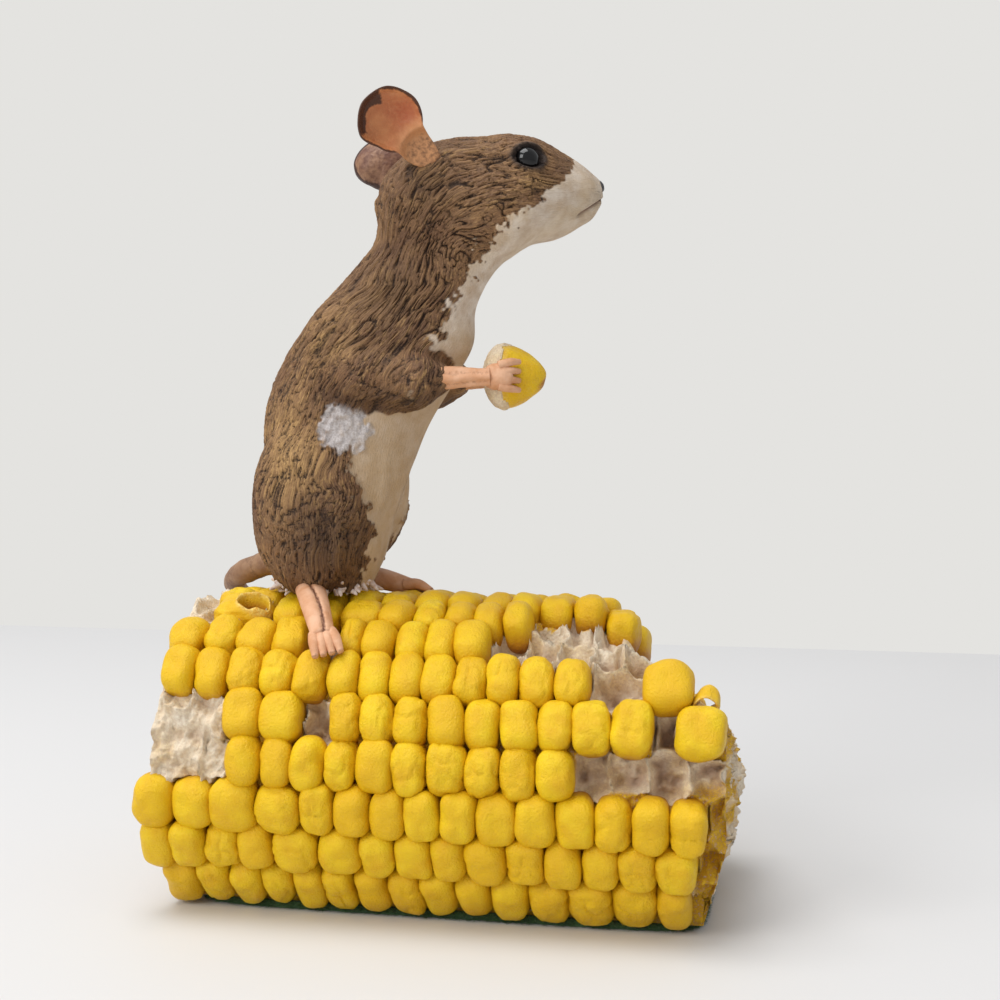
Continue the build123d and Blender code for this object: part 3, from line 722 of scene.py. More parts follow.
def build_felt(material):
    """A pad with a rounded outline, its fuzz standing out all round."""
    count = 360
    turn = ring_turns(count)
    outline = felt_outline(turn)
    rings = [level_place(*(outline * share).T) for share in (0.02, 0.5)]
    for height, share in ((0.0, 0.985), (0.12, 1.0), (0.8, 1.0), (1.0, 0.985), (1.0, 0.5), (1.0, 0.02)):
        rough = 0.12 * np.sin(turn * 97 + height * 3) * (share > 0.9)
        rings.append(level_place(*(outline * share + rough[:, None] * 0.3).T, height))
    heap = Heap("tone")
    heap.add(np.concatenate(rings), turned(sealed_faces(len(rings), count)), tone=0)

    chance = np.random.default_rng(4)
    fibres = 9000
    root = felt_outline(chance.uniform(0, 2 * pi, fibres))
    way = unit(root)
    way += chance.normal(0, 0.7, way.shape)
    way = unit(way)
    length = chance.uniform(0.35, 1.25, fibres)
    low = chance.uniform(0.08, 1.0, fibres)
    high = np.clip(low + chance.uniform(-0.5, 0.35, fibres), 0.05, 1.3)
    tip = np.column_stack((root + way * length[:, None], high))
    base = np.column_stack((root - way * 0.1, low))
    side = level_place(-way[:, 1], way[:, 0]) * 0.045
    corners = np.stack((base + side, base - side, base + np.array((0, 0, 0.06)), tip), axis=1).reshape(-1, 3)
    first = np.arange(fibres) * 4
    threes = [first[:, None] + np.array(three) for three in ((0, 1, 3), (1, 2, 3), (2, 0, 3), (0, 2, 1))]
    tone = np.repeat(chance.uniform(0, 1, fibres), 4)
    heap.add(corners, np.concatenate(threes).tolist(), tone=tone)
    heap.make("felt_pad_fuzzy", material, "felt", "felt_pad")


# Mouse: its forms as fields, negative inside


def flat_oval(x, y, half_x, half_y):
    """Signed distance, nearly, from an oval."""
    near = np.sqrt((x / half_x) ** 2 + (y / half_y) ** 2) + 1e-6
    steep = np.sqrt((x / half_x**2) ** 2 + (y / half_y**2) ** 2) + 1e-6
    return near * (near - 1) / steep


def egg(points, centre, half_sizes, axes=None):
    """Signed distance, nearly, from an egg-shaped mass. axes are its own directions, as rows."""
    away = points - np.asarray(centre)
    if axes is not None:
        away = away @ axes.T
    half_sizes = np.asarray(half_sizes, float)
    near = np.linalg.norm(away / half_sizes, axis=1) + 1e-6
    steep = np.linalg.norm(away / half_sizes**2, axis=1) + 1e-6
    return near * (near - 1) / steep


def rod(points, start, end, start_radius, end_radius):
    start, end = np.asarray(start, float), np.asarray(end, float)
    way = end - start
    share = np.clip((points - start) @ way / (way @ way), 0, 1)
    near = np.linalg.norm(points - start - share[:, None] * way, axis=1)
    return near - (start_radius + (end_radius - start_radius) * share)


def join(first, second, blend):
    """The union of two fields, with a fillet of about that size."""
    share = np.clip(0.5 + 0.5 * (second - first) / blend, 0, 1)
    return second + (first - second) * share - blend * share * (1 - share)


# The trunk's back, front and width at shares of its height, as shares of its depth and width
STANCE_X, BODY_BASE, SPINE_RISE = -20.0, 42.5, 49.8
BODY_DEPTH, BODY_WIDTH = 20.0, 17.6
RISE_SHARES = (0, 0.07, 0.19, 0.33, 0.47, 0.59, 0.69, 0.79, 0.895, 1)
BACK_SHARES = (-0.34, -0.40, -0.425, -0.435, -0.42, -0.365, -0.225, -0.02, 0.21, 0.45)
FRONT_SHARES = (0.32, 0.405, 0.49, 0.61, 0.75, 0.93, 1.065, 1.09, 1.21, 1.32)
WIDTH_SHARES = (0.59, 0.80, 0.88, 0.90, 0.94, 0.96, 0.93, 0.84, 0.77, 0.62)
HEIGHTS, BACKS, FRONTS, WIDTHS = smooth_table(RISE_SHARES, BACK_SHARES, FRONT_SHARES, WIDTH_SHARES)
HEIGHTS = BODY_BASE + SPINE_RISE * HEIGHTS
BACKS, FRONTS = STANCE_X + BODY_DEPTH * BACKS, STANCE_X + BODY_DEPTH * FRONTS
WIDTHS = WIDTHS * BODY_WIDTH / 2

# The head's own axes, and its middle line, height and width at shares of its length
HEAD_ROOT = np.array((-5.5, 0.0, 95.0))
HEAD_TURN, HEAD_TIP = radians(19.0), radians(10.6)
AHEAD = np.array((cos(HEAD_TIP) * cos(HEAD_TURN), cos(HEAD_TIP) * sin(HEAD_TURN), sin(HEAD_TIP)))
LEFT = np.array((-sin(HEAD_TURN), cos(HEAD_TURN), 0.0))
UP = np.cross(AHEAD, LEFT)
HEAD_AXES = np.stack((AHEAD, LEFT, UP))
HEAD_LENGTH, HEAD_HEIGHT, HEAD_WIDTH = 25.2, 18.0, 17.2
HEAD_STATIONS = (-0.25, -0.19, -0.07, 0.09, 0.25, 0.41, 0.56, 0.71, 0.83, 0.93, 1)
HEAD_RISES = (0.02, 0.03, 0.05, 0.06, 0.05, 0.04, 0.065, 0.033, -0.006, -0.047, -0.05)
HEAD_TALLS = (0.30, 0.58, 0.82, 0.95, 1, 0.96, 0.87, 0.77, 0.58, 0.41, 0.19)
HEAD_BROADS = (0.28, 0.56, 0.80, 0.93, 1, 0.99, 0.92, 0.74, 0.55, 0.40, 0.20)
HEAD_SHARES = smooth_table(HEAD_STATIONS, HEAD_RISES, HEAD_TALLS, HEAD_BROADS)
HEAD_FORWARDS, HEAD_RISE = HEAD_SHARES[0] * HEAD_LENGTH, HEAD_SHARES[1] * HEAD_HEIGHT
HEAD_TALL, HEAD_BROAD = HEAD_SHARES[2] * HEAD_HEIGHT / 2, HEAD_SHARES[3] * HEAD_WIDTH / 2
EYE = (14.6, 5.9, 4.4)


def head_point(forward, left, up):
    return HEAD_ROOT + AHEAD * forward + LEFT * left + UP * up


def in_head(points):
    """Forward, left and up of each point."""
    return (points - HEAD_ROOT) @ HEAD_AXES.T


def closed_off(field, place, low, high, share):
    """The field, closed beyond the first and last place that its table knows."""
    beyond = np.maximum(place - high, low - place)
    return np.where(beyond > 0, np.hypot(np.maximum(field, 0), beyond * share), field)


def torso_field(points):
    height = points[:, 2]
    back, front, width = [np.interp(height, HEIGHTS, table) for table in (BACKS, FRONTS, WIDTHS)]
    field = flat_oval(points[:, 0] - (back + front) / 2, points[:, 1], (front - back) / 2, width)
    return closed_off(field, height, HEIGHTS[0], HEIGHTS[-1], 1.6)


def skull_field(points):
    forward, left, up = in_head(points).T
    tables = (HEAD_RISE, HEAD_TALL, HEAD_BROAD)
    rise, tall, broad = [np.interp(forward, HEAD_FORWARDS, table) for table in tables]
    height = (up - rise) / tall
    broad = broad * (1 - 0.10 * np.clip(height, -1, 1) * smooth_step(forward, -2, 8))
    field = flat_oval(left, up - rise, broad, tall)
    return closed_off(field, forward, HEAD_FORWARDS[0], HEAD_FORWARDS[-1], 1.4)


def body_field(points):
    """The furred body: trunk, neck, head, haunches and upper arms, all flowing together."""
    field = join(torso_field(points), skull_field(points), 3.2)
    for side in (-1, 1):
        brow = egg(points, head_point(13.2, side * 4.7, 5.9), (3.4, 1.7, 1.5), HEAD_AXES)
        cheek = egg(points, head_point(9.5, side * 4.6, -1.8), (6.2, 3.9, 5.0), HEAD_AXES)
        shoulder = egg(points, (-15.0, side * 4.2, 76.0), (6.4, 4.4, 7.4))
        elbow = (-5.4, side * 5.9, 72.0)
        upper_sleeve = rod(points, (-13.2, side * 6.3, 72.6), elbow, 4.5, 3.7)
        cuff = rod(points, elbow, (-2.6, side * 5.5, 72.2), 3.6, 2.5)
        sleeve = join(upper_sleeve, cuff, 0.8)
        for mass, fillet in ((brow, 1.4), (cheek, 2.4), (shoulder, 3.0), (sleeve, 0.9)):
            field = join(field, mass, fillet)
    right_thigh = egg(points, (-20.9, -5.4, 54.4), (7.9, 4.9, 12.2))
    left_thigh = egg(points, (-17.1, 5.5, 57.3), (7.9, 4.9, 11.5))
    chin = egg(points, head_point(17.2, 0, -3.9), (4.6, 2.9, 2.2), HEAD_AXES)
    for mass, fillet in ((right_thigh, 1.1), (left_thigh, 1.1), (chin, 1.2)):
        field = join(field, mass, fillet)
    return field


# The body's skin is found along rays in planes that follow the spine, then fan over the throat to the nose.
FAN_PIVOT = np.array((7.5, 2.5, 85.0))
FAN_END = pi / 2 - HEAD_TIP
FAN_FORWARD = float((FAN_PIVOT - HEAD_ROOT) @ AHEAD)
FAN_STEPS = 150
# The fan's angle times this is its length of spine
FAN_RADIUS = 15
# How far above the head's axis the fan ends
THROAT_RISE = 0.9
BODY_COLUMNS = 540


def section_planes():
    """The centre, dorsal way and left way of each section, and the length of spine up to it."""
    planes = []
    low_heights = np.linspace(BODY_BASE + 0.02, BODY_BASE + 2.5, 22)
    for height in np.concatenate((low_heights, np.arange(BODY_BASE + 2.7, FAN_PIVOT[2], 0.19))):
        back, front = np.interp(height, HEIGHTS, BACKS), np.interp(height, HEIGHTS, FRONTS)
        lean = HEAD_TURN * float(smooth_step(height, 72, 85))
        ways = (-cos(lean), -sin(lean), 0), (-sin(lean), cos(lean), 0)
        planes.append((((back + front) / 2, 0, height), *ways, height - BODY_BASE))

    back_way = np.array((-cos(HEAD_TURN), -sin(HEAD_TURN), 0))
    start = np.array(planes[-1][0]) - FAN_PIVOT
    end = head_point(FAN_FORWARD, 0, THROAT_RISE) - FAN_PIVOT
    start_reach, start_left = float(start @ back_way), float(start @ LEFT)
    end_reach, end_left = float(end @ UP), float(end @ LEFT)
    length = planes[-1][3]
    for number in range(1, FAN_STEPS + 1):
        share = number / FAN_STEPS
        turn = FAN_END * share
        dorsal = back_way * cos(turn) + np.array((0, 0, 1)) * sin(turn)
        reach = start_reach + (end_reach - start_reach) * share
        centre = FAN_PIVOT + dorsal * reach + LEFT * (start_left + (end_left - start_left) * share)
        planes.append((centre, dorsal, LEFT, length + FAN_END * share * FAN_RADIUS))

    length = planes[-1][3]
    last = HEAD_LENGTH - 0.6
    forwards = (np.arange(FAN_FORWARD + 0.14, last, 0.14), last + np.linspace(0.1, 1.15, 14))
    for forward in np.concatenate(forwards):
        rise = np.interp(forward, HEAD_FORWARDS, HEAD_RISE)
        share = float(smooth_step(forward, FAN_FORWARD, FAN_FORWARD + 5))
        centre = head_point(forward, 0, THROAT_RISE + (rise - THROAT_RISE) * share)
        planes.append((centre, UP, LEFT, length + forward - FAN_FORWARD))
    return [np.array(column) for column in zip(*planes)]


def first_skin(origins, ways):
    """How far along each ray the body's field first turns from inside to outside."""
    reach, steps, halvings = 19.0, 44, 14
    low, high = np.zeros(len(origins)), np.full(len(origins), reach)
    found = np.zeros(len(origins), bool)
    for distance in np.linspace(reach / steps, reach, steps):
        open_rays = np.flatnonzero(~found)
        if not len(open_rays):
            break
        value = body_field(origins[open_rays] + ways[open_rays] * distance)
        out = open_rays[value > 0]
        high[out] = distance
        found[out] = True
        low[open_rays[value <= 0]] = distance
    for _ in range(halvings):
        middle = (low + high) / 2
        out = body_field(origins + ways * middle[:, None]) > 0
        high = np.where(out, middle, high)
        low = np.where(out, low, middle)
    return (low + high) / 2


def body_form():
    """The smooth body's points and normals, with their place along the spine and round it."""
    centres, dorsals, lefts, lengths = section_planes()
    rows = len(centres)
    turn = (np.arange(BODY_COLUMNS) / BODY_COLUMNS * 2 - 1) * pi
    ways = dorsals[:, None] * np.cos(turn)[None, :, None] + lefts[:, None] * np.sin(turn)[None, :, None]
    origins = np.repeat(centres, BODY_COLUMNS, axis=0)
    ways = ways.reshape(-1, 3)
    points = origins + ways * first_skin(origins, ways)[:, None]
    grid = points.reshape(rows, BODY_COLUMNS, 3)
    normals = np.cross(np.gradient(grid, axis=0), np.roll(grid, -1, axis=1) - np.roll(grid, 1, axis=1))
    normals /= np.linalg.norm(normals, axis=2, keepdims=True) + 1e-9
    return points, normals.reshape(-1, 3), np.repeat(lengths, BODY_COLUMNS), np.tile(turn, rows)


def grooves(along, across, long, wide, seed):
    """Short carved strokes, 1 at the bottom of a groove and 0 between."""
    line = creases(level_place(along / long, across / wide), 1.0, seed, 3.6)
    mask_place = level_place(along / (long * 0.8), across / (wide * 1.6), 7.0)
    return line * smooth_step(noise(mask_place, 1.0, seed + 1), -0.32, 0.18)


# How far round from the spine the brown coat reaches, in shares of a half turn, along the spine
COAT_STATIONS = (0, 6, 9, 11.6, 14.5, 19.2, 22.6, 26, 31, 36, 42, 50, 60, 64, 68, 71.5, 73.3, 74.6)
COAT_SHARES = (
    *(0.87, 0.84, 0.82, 0.77, 0.71, 0.61, 0.53, 0.56, 0.79),
    *(0.78, 0.76, 0.76, 0.69, 0.65, 0.59, 0.48, 0.32, 0),
)


def build_body(material):
    """One skin over the whole body, with carved fur, a bare belly, white fluff, lids and a mouth."""
    points, normals, along, turn = body_form()
    forward, left, up = in_head(points).T
    across = turn * 8.6 + 1.0 * noise(points, 7.0, 61) + 0.5 * noise(points, 2.8, 62)
    bent = along + 1.6 * noise(points, 4.5, 63)
    sleeves = [rod(points, (-13.2, side * 6.3, 72.6), (-2.4, side * 5.5, 72.1), 5.0, 3.2) for side in (-1, 1)]
    sleeve = np.minimum(*sleeves)
    ragged = 0.05 * noise(points, 1.3, 70) + 0.035 * noise(points, 0.5, 71)
    coat_edge = np.interp(along, COAT_STATIONS, COAT_SHARES)
    bare = smooth_step(np.abs(turn) / pi - coat_edge + ragged, -0.012, 0.012)
    bare *= smooth_step(sleeve + 5 * ragged, 0.55, 0.9)
    armpit = near_place(np.abs(points) * np.array((-1, 1, 1)), (-14.6, 8.2, 65.2), (3.9, 3.6, 3.9))
    fluff = smooth_step(armpit * (1 + 7 * ragged), 0.34, 0.48) * smooth_step(sleeve, -0.4, 0.6)
    hair = 1 - bare
    neck = smooth_step(along, 26, 40)
    muzzle = smooth_step(forward, 15.5, 20.5) * smooth_step(along, 60, 68)

    coarse = grooves(bent, across, 3.1, 0.62, 64)
    middle = grooves(bent + 40, across, 1.9, 0.44, 66)
    fine = grooves(bent + 80, across, 1.1, 0.26, 68)
    groove = np.maximum(coarse * (0.55 + 0.45 * neck), np.maximum(middle * 0.85, fine * (0.9 - 0.4 * neck)))
    locks = noise(level_place(bent / 6.0, across / 1.7, 3.0), 1.0, 67)
    depth = (0.34 + 0.16 * neck) * hair * (1 - 0.8 * muzzle) * (1 - fluff)
    relief = -depth * groove + 0.24 * locks * hair * (1 - muzzle) + 0.05 * noise(points, 0.30, 72) * hair
    belly_folds = noise(level_place(bent / 7.0, across / 1.4, 11.0), 1.0, 73)
    relief += bare * (1 - fluff) * (1 - muzzle) * 0.10 * belly_folds
    lumps = noise(points, 1.5, 74) + 0.7 * noise(points, 0.7, 75)
    relief += fluff * (0.25 + 0.5 * lumps)
    coat_step = 0.30 * smooth_step(hair, 0.2, 1.0) * smooth_step(along, 34, 20)
    relief += coat_step * (1 - fluff)

    lid, corner = np.zeros((2, len(points)))
    for side in (-1, 1):
        from_eye = np.stack((forward - EYE[0], left - side * EYE[1], up - EYE[2]), axis=1)
        near = np.linalg.norm(from_eye / np.array((1.22, 1, 0.98)), axis=1)
        relief += 0.42 * bell(near, 2.15, 0.36) - 0.9 * np.exp(-((near / 1.45) ** 4))
        lid = np.maximum(lid, smooth_step(near, 2.75, 2.0))
        # A pale patch at the rear corner of each eye: a painted highlight.
        rear = np.stack((forward - EYE[0] + 2.0, left - side * (EYE[1] + 0.1), up - EYE[2] + 0.1), axis=1)
        corner = np.maximum(corner, smooth_step(np.linalg.norm(rear, axis=1), 0.85, 0.45))
    mouth_line = up + 4.3 - 0.42 * (forward - 20.5)
    mouth = bell(mouth_line, 0, 0.22) * smooth_step(forward, 20.2, 21.4) * (up < -2) * (along > 60)
    relief -= 0.5 * mouth

    shade = 0.9 * near_place(points, (-17.5, 0, 50.5), (4.8, 30, 6.0))
    shade += 0.55 * smooth_step(sleeve, 1.6, 0.2) * smooth_step(points[:, 2], 72.0, 69.0)
    shade += 0.45 * near_place(points, (-9.0, 0, 84.0), (6, 30, 7.0)) + 0.5 * smooth_step(along, 2.2, 0.4)
    shade += 0.5 * near_place(points, head_point(3.0, 0, 3.0), (4, 30, 3.4))
    tan = near_place(points, (-22.0, 0, 61.5), (4.6, 30, 7.5))
    tan += 0.6 * near_place(points, (-17.0, 0, 77.0), (4, 30, 5.0))
    tan += 0.45 * near_place(points, head_point(17.5, 0, 0.5), (3.4, 30, 2.6))
    values = {
        "groove": groove * (1 - 0.7 * muzzle),
        "bare": bare,
        "lock": locks,
        "flow": level_place(bent, across),
        "lid": lid,
        "fluff": fluff,
        "shade": np.clip(shade, 0, 1),
        "tan": np.clip(tan, 0, 1),
        "corner": corner,
        "mouth": mouth,
    }
    heap = Heap(*values)
    faces = turned(sealed_faces(len(points) // BODY_COLUMNS, BODY_COLUMNS))
    heap.add(points + normals * relief[:, None], faces, **values)
    nodes = ("torso", "head", "right_haunch", "left_haunch", "right_upper_arm", "left_upper_arm")
    heap.make("mouse_body", material, "fur", *nodes)


def build_fringe(material):
    """Small pale tufts under the rump, that lie over the kernels round the feet."""
    draw = np.random.default_rng(8)
    heap = Heap("tip")
    for _ in range(170):
        turn = draw.uniform(-pi, pi)
        reach = draw.uniform(0.55, 1.0)
        height = BODY_BASE + draw.uniform(0.1, 1.4)
        start = np.array((-20.2 - 6.6 * cos(turn) * reach, -5.2 * sin(turn) * reach, height))
        way = np.array((-cos(turn) * 0.9, -sin(turn), draw.uniform(-0.7, -0.1)))
        way = unit(way + draw.normal(0, 0.25, 3))
        end = start + way * draw.uniform(1.2, 2.6)
        end[2] = max(end[2], AXIS_HEIGHT + sqrt(max(CROWN_RADIUS**2 - end[1] ** 2, 0)) - 0.1)
        points, faces, along = tube((start, (start + end) / 2 + (0, 0, 0.12), end), (0.52, 0.44, 0.14), 12)
        heap.add(points, faces, tip=along)
    heap.make("rump_fringe", material, "fur")


def build_eyes(material):
    eye_radius = 1.74
    way, faces = ball_grid(40, 48)
    for side, name in ((-1, "right_eye"), (1, "left_eye")):
        heap = Heap()
        heap.add(head_point(EYE[0], side * EYE[1], EYE[2]) + way * eye_radius, faces)
        heap.make(name + "_bead", material, "eye_bead", name)


def build_nose(material):
    way, faces = ball_grid(30, 36)
    relief = 0.10 * noise(way, 0.5, 80)
    shaped = way * np.array((0.95, 1.25, 1.0)) * (1 + relief)[:, None]
    for side in (-1, 1):
        pit = np.linalg.norm(shaped - np.array((0.55, side * 0.75, -0.05)), axis=1)
        shaped[:, 0] -= 0.35 * bell(pit, 0, 0.35)
    heap = Heap()
    heap.add(head_point(HEAD_LENGTH - 0.25, 0, -0.4) + shaped @ HEAD_AXES, faces)
    heap.make("nose_tip_black", material, "nose_black", "nose_tip")


# Ears

# The outline of each ear in its own plane: degrees round from the front, and mm from its middle
RIGHT_EAR_TURNS = (-39, -22, -9, 16, 41, 65, 96, 123, 149, 176, 207, 240, 285, 305)
RIGHT_EAR_REACHES = (9.6, 6.1, 4.4, 4.4, 4.5, 4.4, 4.6, 4.4, 4.5, 4.4, 4.6, 3.8, 4.2, 7.6)
LEFT_EAR_TURNS = (-62, -40, -20, 0, 30, 60, 95, 129, 155, 176, 195, 210, 235, 257, 278)
LEFT_EAR_REACHES = (8.0, 7.5, 5.5, 4.5, 4.5, 4.5, 4.4, 4.3, 4.4, 4.5, 4.3, 4.0, 3.4, 3.4, 5.3)


def ear_reach(turn, turns, reaches):
    """The ear's outline at each turn, its corners softened."""
    known = np.concatenate([np.array(turns) + whole for whole in (-360, 0, 360)])
    reach = np.interp(np.degrees(turn), known, np.tile(reaches, 3))
    for _ in range(6):
        reach = (np.roll(reach, 1) + 2 * reach + np.roll(reach, -1)) / 4
    return reach


def build_ear(middle, across, axis, turns, reaches, seed, material, name):
    """A cupped sheet of clay with a rolled rim, drawn out to its root at the front."""
    middle, across, axis = np.array(middle), unit(across), np.array(axis, float)
    axis = unit(axis - across * (axis @ across))
    facing = np.cross(across, axis)
    flipped = facing[1] * middle[1] < 0
    if flipped:
        facing = -facing
    rings, sides = 60, 200
    turn = ring_turns(sides) - pi
    s, t = [g.ravel() for g in np.meshgrid(np.linspace(0.01, 1, rings), turn, indexing="ij")]
    reach = np.tile(ear_reach(turn, turns, reaches), rings)
    x, y = s * reach * np.cos(t), s * reach * np.sin(t)
    seat = level_place(x, y, seed * 3.0)
    ripple = noise(seat, 3.4, 90) + 0.4 * noise(seat, 1.4, 91)
    root = smooth_step(np.hypot(x - 5.2, y + 4.6), 6.5, 2.0)
    dish = -1.7 * (1 - s**2) * (1 - 0.6 * root) + 0.22 * ripple * s
    curl = smooth_step(s, 0.80, 1.0) * (0.35 + 0.75 * smooth_step(-np.cos(t - 0.5), -0.2, 0.9)) * (1 - root)
    thick = (0.60 * np.sqrt(np.clip(1 - s**8, 0, 1)) + 0.14) * (1 + 0.9 * root)
    sunk = 1.6 * smooth_step(root, 0.55, 1.0)
    front = dish + curl + thick / 2 - sunk
    back = dish + curl * 0.45 - thick / 2 - sunk
    # A dark rim, partly a dark edge of the clay and partly painted shade along the rim.
    rim_edge_and_shade = smooth_step(s + 0.05 * ripple, 0.86, 0.97) * (1 - smooth_step(root, 0.2, 0.6))
    patch = smooth_step(s + 0.16 * ripple, 0.50, 0.66) * smooth_step(np.cos(t - 2.75), 0.50, 0.80)
    rust = near_place(seat, (1.9, 1.2, seed * 3.0), (2.4, 2.0, 1))
    heap = Heap("inside", "dark", "root", "rust")
    faces = sealed_faces(rings, sides, last=False)
    for level, inside, dark in ((front, True, np.maximum(rim_edge_and_shade, patch)), (back, False, rim_edge_and_shade)):
        points = middle + across * x[:, None] + axis * y[:, None] + facing * level[:, None]
        own = faces if inside != flipped else turned(faces)
        heap.add(points, own, inside=inside, dark=dark, root=root, rust=rust)
    front_rim, back_rim = (rings - 1) * sides, (2 * rings - 1) * sides
    for c in range(sides):
        after = (c + 1) % sides
        seam = [front_rim + c, front_rim + after, back_rim + after, back_rim + c]
        heap.faces.append(seam[::-1] if flipped else seam)
    heap.make(name + "_cupped", material, "ear_skin", name)


# Limbs, tail and the kernel in the paws


def build_forearm(side, material, name):
    """A bare forearm out of its furred cuff, and a hand whose fingers hold the kernel."""
    heap = Heap("dark")
    sides = 36
    cuff = np.array((-3.2, side * 5.45, 72.15))
    wrist = np.array((3.4, side * 5.35, 72.3))
    palm = np.array((5.0, side * 5.1, 72.4))
    route = (cuff, (cuff + wrist) / 2 + (0, side * 0.2, 0.1), wrist, palm)
    points, faces, _ = tube(route, (1.75, 1.55, 1.25, 1.35), sides)
    turn = np.tile(ring_turns(sides), len(points) // sides)
    tendon = 0.5 + 0.5 * np.cos(turn * 6 + 2 * noise(points, 3, 7))
    points = swollen(points, sides, 0.16 * (tendon - 0.5) + 0.05 * noise(points, 0.9, 18))
    heap.add(points, faces, dark=0.45 * (1 - tendon))
    way, ball_faces = ball_grid(26, 32)
    hand = way * np.array((2.1, 1.15, 1.9)) * (1 + 0.06 * noise(way, 0.4, 17))[:, None]
    heap.add(np.array((6.0, side * 5.0, 72.4)) + hand, ball_faces, dark=0)
    for finger in range(4):
        lift = (finger - 1.5) * 0.95
        start = (6.2, side * 5.5, 72.5 + lift)
        knuckle = (7.7, side * 4.9, 72.6 + lift * 1.25)
        tip = (8.8, side * 3.7, 72.5 + lift * 1.35)
        points, faces, along = tube((start, knuckle, tip), (0.62, 0.55, 0.36), 18)
        heap.add(points, faces, dark=0.3 * smooth_step(along, 0.6, 1.0))
    heap.make(name + "_bare", material, "paw_skin", name)


def build_held_kernel(root_material, cap_material):
    """A loose kernel: a broad pale root toward the mouse, and a yellow cap that narrows to a blunt tip."""
    rings, sides = 60, 72
    way, _ = ball_grid(rings, sides)
    share = way[:, 2]
    reach = 4.55 * np.sqrt(np.clip(1 - share**2, 0, 1)) * np.where(share > 0, 1 - 0.28 * share, 1.02)
    reach *= 1 + 0.05 * noise(way, 0.6, 31)
    turn = np.arctan2(way[:, 1], way[:, 0])
    along = np.where(share > 0, share * 5.6, share * 3.2)
    centre = np.array((6.2, 0.0, 72.5))
    points = centre + np.stack((along, reach * np.cos(turn), reach * np.sin(turn)), axis=1)
    outward = way[:, [2, 0, 1]]
    points += outward * (0.10 * noise(points, 1.2, 33))[:, None]
    yellow = along + 0.8 * noise(points, 2.0, 35) > 0.2
    faces = grid_faces(rings, sides)[:, ::-1]
    cap = yellow[faces].all(axis=1)
    heap = Heap("rise", "tone", "torn")
    rise = np.clip(1.1 - smooth_step(along, 3.0, 5.6) * smooth_step(-np.sin(turn), -0.2, 0.9), 0, 1)
    heap.add_part(points, faces[cap], rise=rise, tone=0, torn=0.6 * smooth_step(along, 1.2, 0.0))
    heap.make("held_kernel_cap_painted", cap_material, "kernel", "held_kernel_cap")
    heap = Heap("hollow", "film")
    rough = points + outward * (0.12 * fractal(points, 1.2, 3, 36))[:, None]
    heap.add_part(rough, faces[~cap], hollow=np.clip(0.3 * noise(points, 1.5, 37), 0, 1), film=0.15)
    heap.make("held_kernel_root_pale", root_material, "pith", "held_kernel_root")


def cob_point(rows, along, rise):
    """A place above the crowns, that many rows round from the cob's top."""
    turn = rows * ROW_STEP
    reach = CROWN_RADIUS + rise
    return np.array((along, reach * sin(turn), AXIS_HEIGHT + reach * cos(turn)))


def build_foot(heel, toes, material, name):
    """A hind foot laid over the kernels, with a groove down it and four spread toes."""
    start, end = cob_point(*heel, 1.6), cob_point(*toes, 0.9)
    outward = unit(cob_point((heel[0] + toes[0]) / 2, 0, 0) - np.array((0, 0, AXIS_HEIGHT)))
    way = unit(end - start)
    across = np.cross(way, outward)
    bow = (start + end) / 2 + outward * 0.7
    points, faces, along = tube((start - way * 1.5 + outward, start, bow, end), (1.6, 2.1, 2.0, 1.6), 40, 0.8)
    middle = (points - bow) @ across
    groove = bell(middle, 0.5 * np.sin(along * 6), 0.30) * ((points - bow) @ outward > 0)
    heap = Heap("dark")
    heap.add(points - outward * (0.35 * groove)[:, None], faces, dark=groove)
    for toe in range(4):
        place = toe - 1.5
        root = end - way * 0.8 + across * place * 0.75
        tip = end + way * 3.4 + across * place * 1.15 - outward * 0.5
        knuckle = (root + tip) / 2 + outward * 0.5
        points, faces, along = tube((root, knuckle, tip), (0.85, 0.78, 0.42), 20)
        heap.add(points, faces, dark=0.4 * smooth_step(along, 0.75, 1.0))
    heap.make(name + "_bare", material, "paw_skin", name)


def build_tail(material):
    """A ringed tail that leaves the rump and lies round the left end of the cob."""
    sides = 32
    rows = (1.15, 2.0, 3.0, 3.9, 4.3, 4.2, 3.8)
    alongs = (-0.96, -1.01, -0.95, -0.78, -0.54, -0.30, -0.08)
    radii = [2.0 * share for share in (1, 0.95, 0.85, 0.78, 0.70, 0.58, 0.47, 0.36, 0.24)]
    route = [np.array((-24.0, 3.4, 46.8)), np.array((-31.6, 6.0, 45.0))]
    for row, along, radius in zip(rows, alongs, radii[2:]):
        route.append(cob_point(row, along * HALF_LENGTH, radius + 0.2))
    points, faces, along = tube(route, radii, sides)
    ring = np.sin(along * 640 + 1.5 * noise(points, 2.0, 51))
    heap = Heap("dark")
    points = swollen(points, sides, 0.035 * ring + 0.05 * noise(points, 1.4, 52))
    heap.add(points, faces, dark=0.25 - 0.25 * ring)
    heap.make("tail_ringed", material, "tail_skin", "tail")


# Torn kernel by the tail, and the curled scrap of kernel skin at the right end


